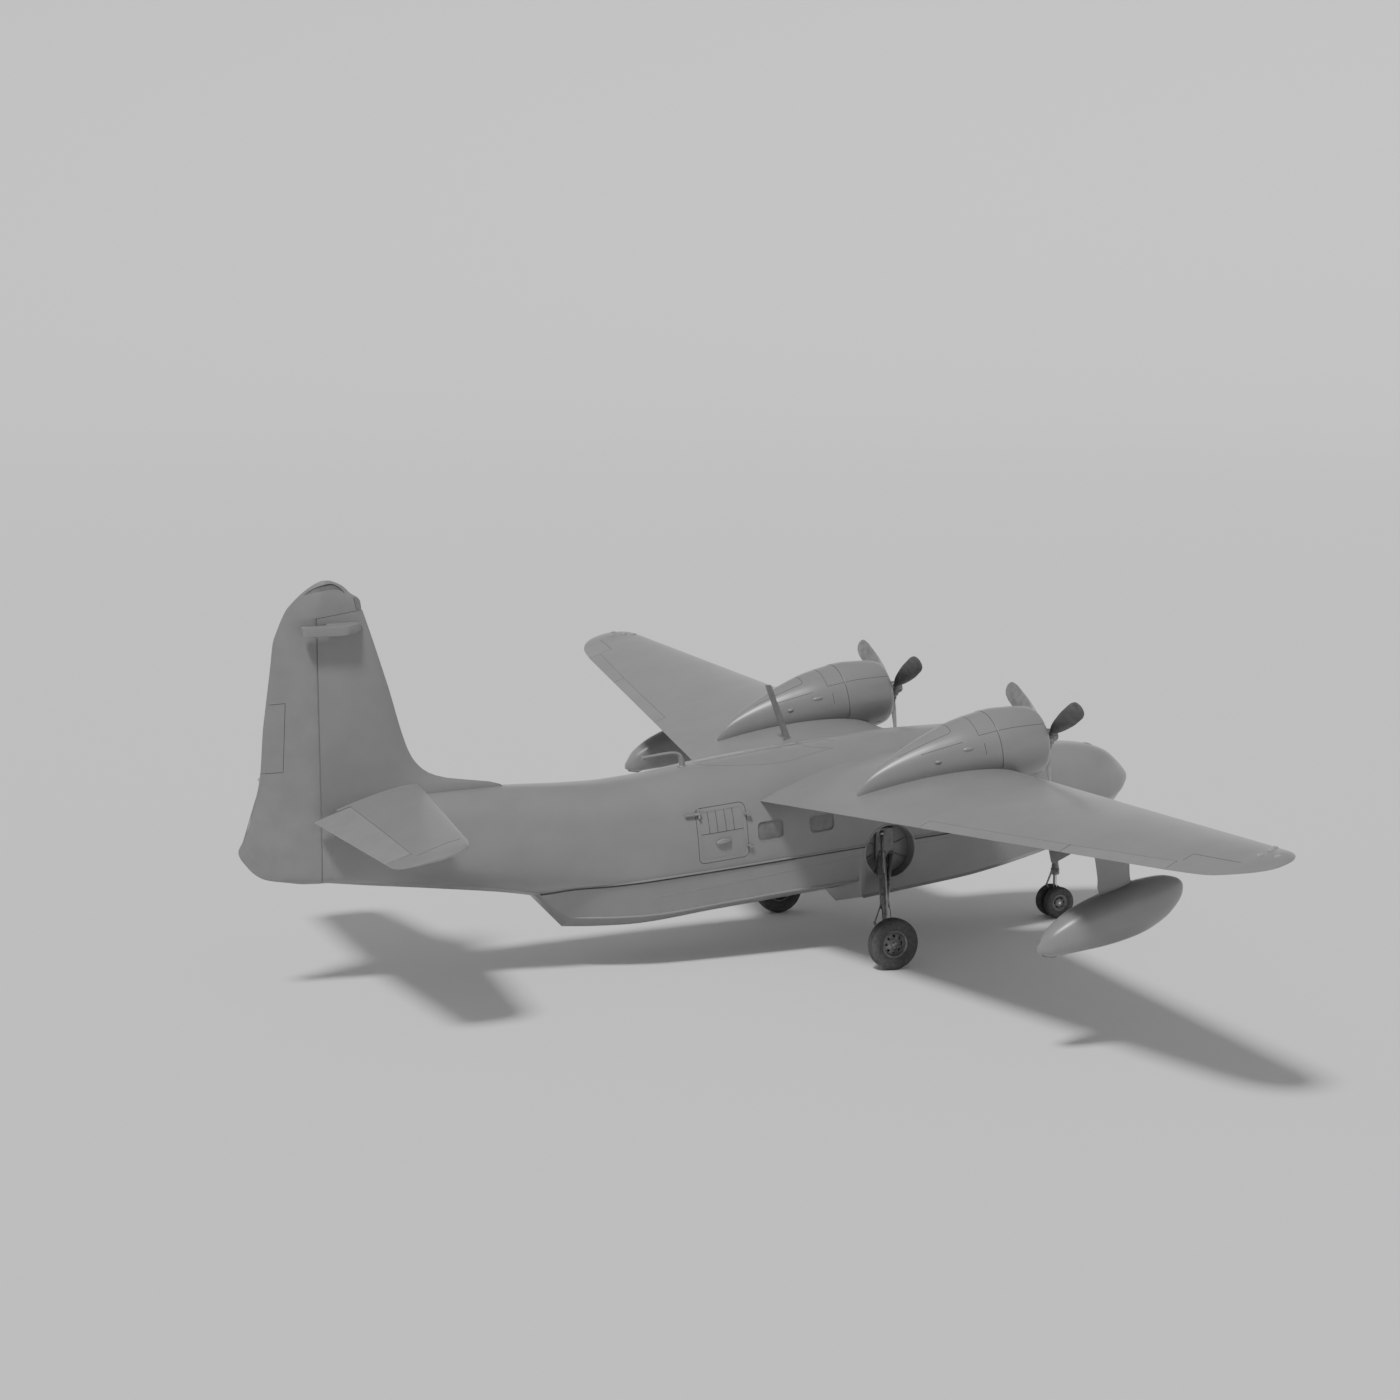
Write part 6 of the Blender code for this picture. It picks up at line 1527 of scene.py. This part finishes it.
for side, word in sides:
    wheelRadius, halfWidth, _ = wheels["mainTyre"]
    wheelOut, station = wheels["track"] / 2.0, wheels["mainStation"]
    addWheel("main_" + word, at(side, wheelOut, station, wheelRadius), side, wheels["mainTyre"], wheels["mainBore"],
             "main_wheel_" + word, 8)
    inner = wheelOut - halfWidth - mainGear["inboard"]
    foot = at(side, *mainGear["legFoot"])
    knuckle = at(side, inner, station, wheelRadius)
    axis = (knuckle - foot).normalized()
    legFrame = frameAt(foot, axis)
    length = (knuckle - foot).length
    sleeveEnd = length * mainGear["piston"]
    casing = [turned(((-0.04, 0.070), (-0.02, 0.085), (sleeveEnd - 0.06, 0.085), (sleeveEnd - 0.055, 0.094),
                      (sleeveEnd - 0.010, 0.094), (sleeveEnd, 0.086), (sleeveEnd, 0.05)), legFrame, 40)]
    for start in [length * share for share in mainGear["collars"]]:
        casing.append(turned(((start, 0.086), (start + 0.006, 0.092), (start + 0.034, 0.092), (start + 0.040, 0.086)),
                             legFrame, 40))
    x0, x1, a0, a1, z0, z1 = mainGear["plate"]
    low, high = sorted((side * x0, side * x1))
    casing.append(box(at(port, low, a0, z0), at(port, high, a1, z1), 0.018))
    casing.append(ballShape(foot, 0.108))
    casing.append(box(at(port, side * inner - 0.094, station - 0.094, wheelRadius - 0.115),
                      at(port, side * inner + 0.094, station + 0.094, wheelRadius + 0.135), 0.028))
    hubFrame = frameAt(knuckle, outward(side))
    reach = wheelOut - hubHalf(halfWidth) - 0.002 - inner
    casing.append(turned(((-0.10, 0.040), (-0.095, 0.060), (0.0, 0.074), (reach - 0.01, 0.074), (reach, 0.068)),
                         hubFrame, 32))
    addPiece("main_leg_casing_" + word, casing, "brushedEnamel", nodes=("main_leg_" + word,))

    meeting = foot.lerp(knuckle, mainGear["meeting"])
    shockTop, dragTop = at(side, *mainGear["shock"]), at(side, *mainGear["drag"])
    shockFrame, shockLength = frameAt(shockTop, meeting - shockTop), (meeting - shockTop).length
    dragFrame, dragLength = frameAt(dragTop, meeting - dragTop), (meeting - dragTop).length
    axleEnd = wheelOut + hubHalf(halfWidth) + mainGear["axleSpare"]
    addPiece("main_leg_piston_" + word, [
        turned(((sleeveEnd - 0.05, 0.058), (length - 0.08, 0.058)), legFrame, 40),
        turned(((0.04, 0.032), (shockLength * 0.5, 0.032)), shockFrame, 28),
        rod(knuckle, at(side, axleEnd - 0.002, station, wheelRadius), 0.049, 32, 0.004)], "hardChrome")
    struts = [turned(((shockLength * 0.46, 0.038), (shockLength * 0.47, 0.060), (shockLength * 0.50, 0.062),
                      (shockLength - 0.07, 0.062), (shockLength - 0.03, 0.040)), shockFrame, 28),
              ballShape(shockTop, 0.066), ballShape(meeting, 0.070),
              turned(((-0.01, 0.030), (0.05, 0.045), (dragLength * 0.5, 0.040), (dragLength - 0.08, 0.045),
                      (dragLength - 0.02, 0.028)), dragFrame, 24),
              ballShape(dragTop, 0.052)]
    # Torque links behind the piston
    linkTop = foot + axis * (sleeveEnd - 0.035) + aftward * 0.090
    linkLow = knuckle + aftward * 0.090 - axis * 0.05
    linkMid = (linkTop + linkLow) / 2.0 + aftward * 0.15
    struts += torqueLinks(linkTop, linkMid, linkLow, axis, 0.095, 0.020)
    struts += pins((linkTop, linkMid, linkLow), axis.cross(aftward).normalized(), 0.016, 0.045)
    for spotA in (a0 + 0.035, a1 - 0.035):
        for spotZ in spread(z0 + 0.06, z1 - 0.06, 2):
            start = at(side, x1 - 0.004, spotA, spotZ)
            struts.append(rod(start, start + outward(side) * 0.016, 0.013, 6))
    addPiece("main_leg_struts_" + word, struts, "platedSteel")
    brake = turned(((reach - 0.070, 0.060), (reach - 0.068, 0.150), (reach - 0.060, 0.172), (reach - 0.040, 0.176),
                    (reach - 0.034, 0.168), (reach - 0.034, 0.060)), hubFrame, 48)
    addPiece("main_brake_" + word, [brake, *boltRing(hubFrame, 10, 0.135, reach - 0.068, -0.012, 0.010, shift=0.0)],
             "castAluminium")
    pipe = [foot + Vector((0.0, -0.10, -0.02)), foot + axis * 0.3 - aftward * 0.105,
            foot + axis * (sleeveEnd - 0.1) - aftward * 0.108, foot + axis * (sleeveEnd + 0.15) - aftward * 0.13,
            knuckle + Vector((0.0, -0.12, 0.05)), hubFrame @ Vector((0.0, -0.11, reach - 0.075))]
    addPiece("main_brake_pipe_" + word, tube(smoothPath(pipe, 6), 0.0075, 10, aftward), "tinnedConduit")
    nutFrame = frameAt(at(side, axleEnd - 0.003, station, wheelRadius), outward(side))
    addPiece("main_hub_nut_" + word, turned(mainGear["hubNut"], nutFrame, 24), "platedSteel")
    wellA, wellZ, _, wellDepth = hull["wheelWell"]
    ribFrom, ribTo, ribRadius = mainGear["rib"]
    ribs = []
    for a in [radians(degrees) for degrees in mainGear["ribAngles"]]:
        start, end = [at(side, hull["flank"] - wellDepth + 0.012, wellA + away * cos(a), wellZ + away * sin(a))
                      for away in (ribFrom, ribTo)]
        ribs.append(rod(start, end, ribRadius, 12))
    addPiece("well_ribs_" + word, ribs, "brushedEnamel")
print("main gear made")

# Nose gear
noseGear = {
    "top": 1.9797, "foot": 1.05, "brace": ((1.62, 1.30), (1.99, 1.80)), "doorDrop": 0.345, "braceHalf": 0.075,
    "fork": ((0.90, 0.060), (0.915, 0.090), (0.94, 0.094), (1.035, 0.094), (1.0494, 0.084)),
    "sleeve": ((0.245, 0.040), (0.262, 0.062), (0.30, 0.070), (0.40, 0.070), (0.43, 0.058), (0.52, 0.056),
               (0.53, 0.048)),
    "slider": ((0.50, 0.044), (0.93, 0.044)),
    # places of the torque links' pins, as distance aft of the leg and height
    "linkTop": (0.085, 0.97), "linkMid": (0.20, 0.71), "linkLow": (0.060, 0.46),
}
noseA = wheels["noseStation"]
noseRadius, noseHalf, _ = wheels["noseTyre"]
upright = Matrix.Translation(at(port, 0.0, noseA, 0.0))
legTop, legFoot = noseGear["top"], noseGear["foot"]
(braceA, braceZ), (braceB, braceTop) = noseGear["brace"]
braceHalf = noseGear["braceHalf"]
post = [turned(((legFoot + 0.001, 0.060), (legFoot + 0.006, 0.080), (legFoot + 0.060, 0.080), (legFoot + 0.070, 0.070),
                (1.40, 0.070), (1.41, 0.077), (1.46, 0.077), (1.47, 0.070), (1.84, 0.070), (1.86, 0.095),
                (1.90, 0.100), (legTop, 0.100)), upright, 40)]
for out in (-braceHalf, braceHalf):
    post.append(rod(at(port, out * 0.6, braceA, braceZ + 0.13), at(port, out, braceB - 0.02, braceTop), 0.020, 16))
for half, station, height, radius in ((0.11, braceB - 0.02, braceTop, 0.024),
                                      (braceHalf, braceA + 0.01, braceZ + 0.13, 0.030)):
    post.append(rod(at(port, -half, station, height), at(port, half, station, height), radius, 16, 0.004))
addPiece("nose_leg_casing", post, "brushedEnamel", nodes=("nose_leg",))
sleeveOut = wheels["noseOut"] - hubHalf(noseHalf) - 0.001
axleOut = wheels["noseOut"] + hubHalf(noseHalf) + mainGear["axleSpare"]
sleeve, axle = [rod(at(port, -out, noseA, noseRadius), at(port, out, noseA, noseRadius), *sizes)
                for out, sizes in ((sleeveOut, (0.049, 28, 0.005)), (axleOut, (0.0315, 24, 0.004)))]
addPiece("nose_fork_casing", [turned(noseGear["fork"], upright, 40), turned(noseGear["sleeve"], upright, 32), sleeve],
         "brushedEnamel", "nose_fork", ("nose_fork",))
addPiece("nose_fork_piston", [turned(noseGear["slider"], upright, 36), axle], "hardChrome", "nose_fork")
linkTop, linkMid, linkLow = [at(port, 0.0, noseA + aft, height) for aft, height in (
    noseGear["linkTop"], noseGear["linkMid"], noseGear["linkLow"])]
links = torqueLinks(linkTop, linkMid, linkLow, aftward, 0.080, 0.016)
links += pins((linkTop, linkMid, linkLow), outward(port), 0.013, 0.035)
for turn in (-1.0, 1.0):
    links.append(rod(at(port, turn * 0.075, noseA - 0.02, 1.0), at(port, turn * 0.145, noseA + 0.02, 1.0), 0.020, 14,
                     0.004))
addPiece("nose_links", links, "platedSteel", "nose_fork")
for side, word in sides:
    addWheel("nose_" + word, at(side, wheels["noseOut"], noseA, noseRadius), side, wheels["noseTyre"],
             wheels["noseBore"], "nose_wheels", 6)
    lowA, highA, wellHalf, _ = hull["noseWell"]
    hinge = wellHalf + 0.004
    rings = []
    for share in spread(0.0, 1.0, 16):
        station = lowA + 0.02 + (highA - lowA - 0.04) * share
        keel, chineW, chineZ = lowerFore(station)
        edge = keel + (chineZ - keel) * hinge / chineW - 0.004
        # The corners are cut back a little
        drop = noseGear["doorDrop"] * (1.0 - 0.10 * max(0.0, abs(share - 0.5) * 2.0 - 0.80) / 0.20)
        ring = [(0.000, 0.0), (0.020, 0.004), (0.030, 0.000), (0.052, -0.06), (0.095, -0.17), (0.135, -0.26),
                (0.160, -drop + 0.006), (0.155, -drop), (0.138, -drop), (0.112, -0.26), (0.072, -0.17), (0.030, -0.06)]
        rings.append([at(side, hinge + out, station, edge + rise) for out, rise in ring])
    arms = []
    for station in [lowA + (highA - lowA) * share for share in (0.25, 0.75)]:
        keel = lowerFore(station)[0]
        arms.append(rod(at(side, hinge - 0.006, station, keel + 0.10), at(side, hinge + 0.055, station, keel - 0.02),
                        0.011, 12))
    addPiece("nose_door_skin_" + word, skin(rings), "sprayedEnamel", nodes=("nose_door_" + word,))
    addPiece("nose_door_arms_" + word, arms, "platedSteel")
print("nose gear made")

# Roof fittings, mast and cabin
fittings = {
    "dome": (0.90, 3.60), "domeFoot": ((-0.08, 0.140), (0.020, 0.140), (0.026, 0.134)),
    "vent": ((10.14, 3.72), (10.15, 3.86), (10.17, 3.98), (10.21, 4.060), (10.29, 4.100), (10.42, 4.108),
             (10.70, 4.085), (11.01, 4.05)),
    "mouth": ((-0.030, 0.036), (-0.026, 0.041), (0.0, 0.041), (0.002, 0.034), (-0.020, 0.028)),
    "flange": ((-0.04, 0.098), (0.012, 0.098), (0.020, 0.092), (0.022, 0.070)), "flangeAt": (10.155, 3.835),
    "mastFoot": (1.90, 6.97, 3.86), "mastTop": (1.90, 7.42, 5.03), "mastChord": (0.140, 0.130), "mastHalf": 0.021,
    "frameStations": (7.35, 8.15, 9.2, 10.45),
    "frameProfile": ((-0.022, -0.006), (-0.022, 0.030), (0.022, 0.030), (0.022, -0.006)),
    # first and last station of each bench
    "benches": ((7.45, 8.75), (8.95, 10.25)),
    # legs and back posts: distance in from the wall, heights over the floor, radius and steps round
    "benchRods": ((0.42, -0.02, 0.37, 0.016, 14), (0.06, -0.02, 0.37, 0.016, 14), (0.03, 0.38, 0.52, 0.014, 12)),
}
domeFrame = frameAt(at(port, 0.0, *fittings["dome"]), (0.0, -0.35, 1.0))
dome = [*fittings["domeFoot"], *[(0.026 + 0.050 * sin(a), 0.128 * cos(a))
                                 for a in [pi / 2.0 * step / 9.0 for step in range(9)]]]
addPiece("nose_dome_skin", turned(dome, domeFrame, 48), "sprayedEnamel", nodes=("nose_dome",))
ventPath = smoothPath([at(port, 0.0, a, z) for a, z in fittings["vent"]], 6)
# The pipe is thick at its foot
ventRadii = [0.034 + 0.040 * max(0.0, 1.0 - index / 22.0) for index in range(len(ventPath))]
mouth = turned(fittings["mouth"], frameAt(ventPath[-1], (ventPath[-1] - ventPath[-2]).normalized()), 28)
flange = turned(fittings["flange"], frameAt(at(port, 0.0, *fittings["flangeAt"]), (0.0, 0.10, 1.0)), 36)
addPiece("vent_pipe_tube", [tube(ventPath, ventRadii, 28), mouth, flange], "sprayedEnamel", nodes=("vent_pipe",))
mastHalf = fittings["mastHalf"]
mastOutline = rounded(((-mastHalf, -0.5), (mastHalf, -0.5), (mastHalf, 0.5), (-mastHalf, 0.5)), 0.018, 4)
rings = []
for share in (0.0, 0.02, 0.05, 0.5, 0.97, 0.992, 1.0):
    out, station, height = [a + (b - a) * share for a, b in zip(fittings["mastFoot"], fittings["mastTop"])]
    chord = fittings["mastChord"][0] + (fittings["mastChord"][1] - fittings["mastChord"][0]) * share
    size = (1.0 + 0.5 * max(0.0, 0.05 - share) / 0.05) * (0.80 if share == 1.0 else 1.0)
    rings.append([at(port, out + x * size, station + y * chord * size, height) for x, y in mastOutline])
addPiece("mast_bar", skin(rings), "brushedEnamel", nodes=("mast_aerial",))

frames = []
for station in fittings["frameStations"]:
    _, floorZ, ceiling = straightRow(hull["cabin"], station)
    heights = [floorZ + (ceiling - floorZ) * (0.06 + 0.86 * step / 14.0) for step in range(15)]
    for side in (port, starboard):
        path = [at(side, halfWidthAt(station, height) - hull["wall"] - 0.004, station, height) for height in heights]
        frames.append(strip(path, [outward(-side)] * len(path), fittings["frameProfile"]))
addPiece("cabin_frames", frames, "brushedEnamel")
benches = []
for first, last in fittings["benches"]:
    middle = (first + last) / 2.0
    floorZ = straightRow(hull["cabin"], middle)[1]
    back = halfWidthAt(middle, floorZ + 0.5) - hull["wall"] - 0.045
    floorZ += 0.04
    benches.append(box(at(port, back - 0.46, first, floorZ + 0.36), at(port, back, last, floorZ + 0.42), 0.025))
    benches.append(box(at(port, back - 0.05, first, floorZ + 0.46), at(port, back, last, floorZ + 0.86), 0.024))
    for station in (first + 0.12, last - 0.12):
        for inboard, low, high, radius, steps in fittings["benchRods"]:
            benches.append(rod(at(port, back - inboard, station, floorZ + low),
                               at(port, back - inboard, station, floorZ + high), radius, steps))
addPiece("cabin_benches", benches, "brushedEnamel")
for name in ("cockpit_floor", "cabin_floor"):
    for slot in bpy.data.objects[name].material_slots:
        slot.material = materials["woolTrim"]
print("fittings and cabin made")


# Light, floor and camera
studio = {
    "camera": (-53.381, 23.033, 14.379),
    "azimuth": radians(113.170),
    "elevation": radians(-9.044),
    "lens": 76.37,
    "floorRadius": 130.0,
    "coveRadius": 90.0,
    "floorDepth": 0.5,
    "airStrength": 0.36,
    # name: azimuth and elevation it comes from, width of the source in degrees, strength
    "lamps": {"key_light": (-42.0, 58.0, 10.0, 2.75), "fill_light": (35.0, 30.0, 80.0, 0.18)},
}
# The floor is flat and curves up far behind the aircraft, so that no edge shows
coveRadius = studio["coveRadius"]
upperSkin = [(0.0, 1.0), *[(coveRadius * (1.0 - cos(turn)), studio["floorRadius"] + coveRadius * sin(turn))
                           for turn in [radians(5.0 * step) for step in range(17)]]]
lowerSkin = [(along - studio["floorDepth"], radius + studio["floorDepth"]) for along, radius in reversed(upperSkin)]
floor = addPiece("studio_floor", turned(upperSkin + lowerSkin, Matrix.Identity(4), 96), "sprayedEnamel", body=None)
floorPaint = bpy.data.materials.new("mattPaintedFloor")
floorPaint.use_nodes = True
floorTree = floorPaint.node_tree
floorShader = floorTree.nodes["Principled BSDF"]
floorNoise = addNode(floorTree, "ShaderNodeTexNoise", {"Scale": 0.8, "Detail": 3.0})
floorTint = addNode(floorTree, "ShaderNodeValToRGB",
                    {"stops": ((0.3, linearColour("e2e2e2")), (0.7, linearColour("e6e6e6")))},
                    [(floorNoise, "Fac", "Fac")])
floorTree.links.new(floorTint.outputs["Color"], floorShader.inputs["Base Color"])
floorShader.inputs["Roughness"].default_value = 0.9
floor.data.materials.clear()
floor.data.materials.append(floorPaint)

for name, (azimuth, elevation, width, strength) in studio["lamps"].items():
    light = bpy.data.lights.new(name, "SUN")
    light.angle = radians(width)
    light.energy = strength
    lamp = bpy.data.objects.new(name, light)
    rays = Vector((sin(radians(azimuth)), cos(radians(azimuth)), tan(radians(elevation))))
    lamp.rotation_euler = rays.to_track_quat("Z", "Y").to_euler()
    bpy.context.scene.collection.objects.link(lamp)
world = bpy.data.worlds.new("studio_air")
world.use_nodes = True
world.node_tree.nodes["Background"].inputs["Color"].default_value = linearColour("e6e6e6")
world.node_tree.nodes["Background"].inputs["Strength"].default_value = studio["airStrength"]
bpy.context.scene.world = world

cameraData = bpy.data.cameras.new("photo_camera")
cameraData.lens = studio["lens"]
cameraData.sensor_width = 36.0
cameraData.sensor_fit = "HORIZONTAL"
cameraData.clip_end = 2500.0
camera = bpy.data.objects.new("photo_camera", cameraData)
camera.location = studio["camera"]
look = Vector((sin(studio["azimuth"]) * cos(studio["elevation"]),
               cos(studio["azimuth"]) * cos(studio["elevation"]), sin(studio["elevation"])))
camera.rotation_euler = look.to_track_quat("-Z", "Y").to_euler()
bpy.context.scene.collection.objects.link(camera)
bpy.context.scene.camera = camera
print("camera and light made")
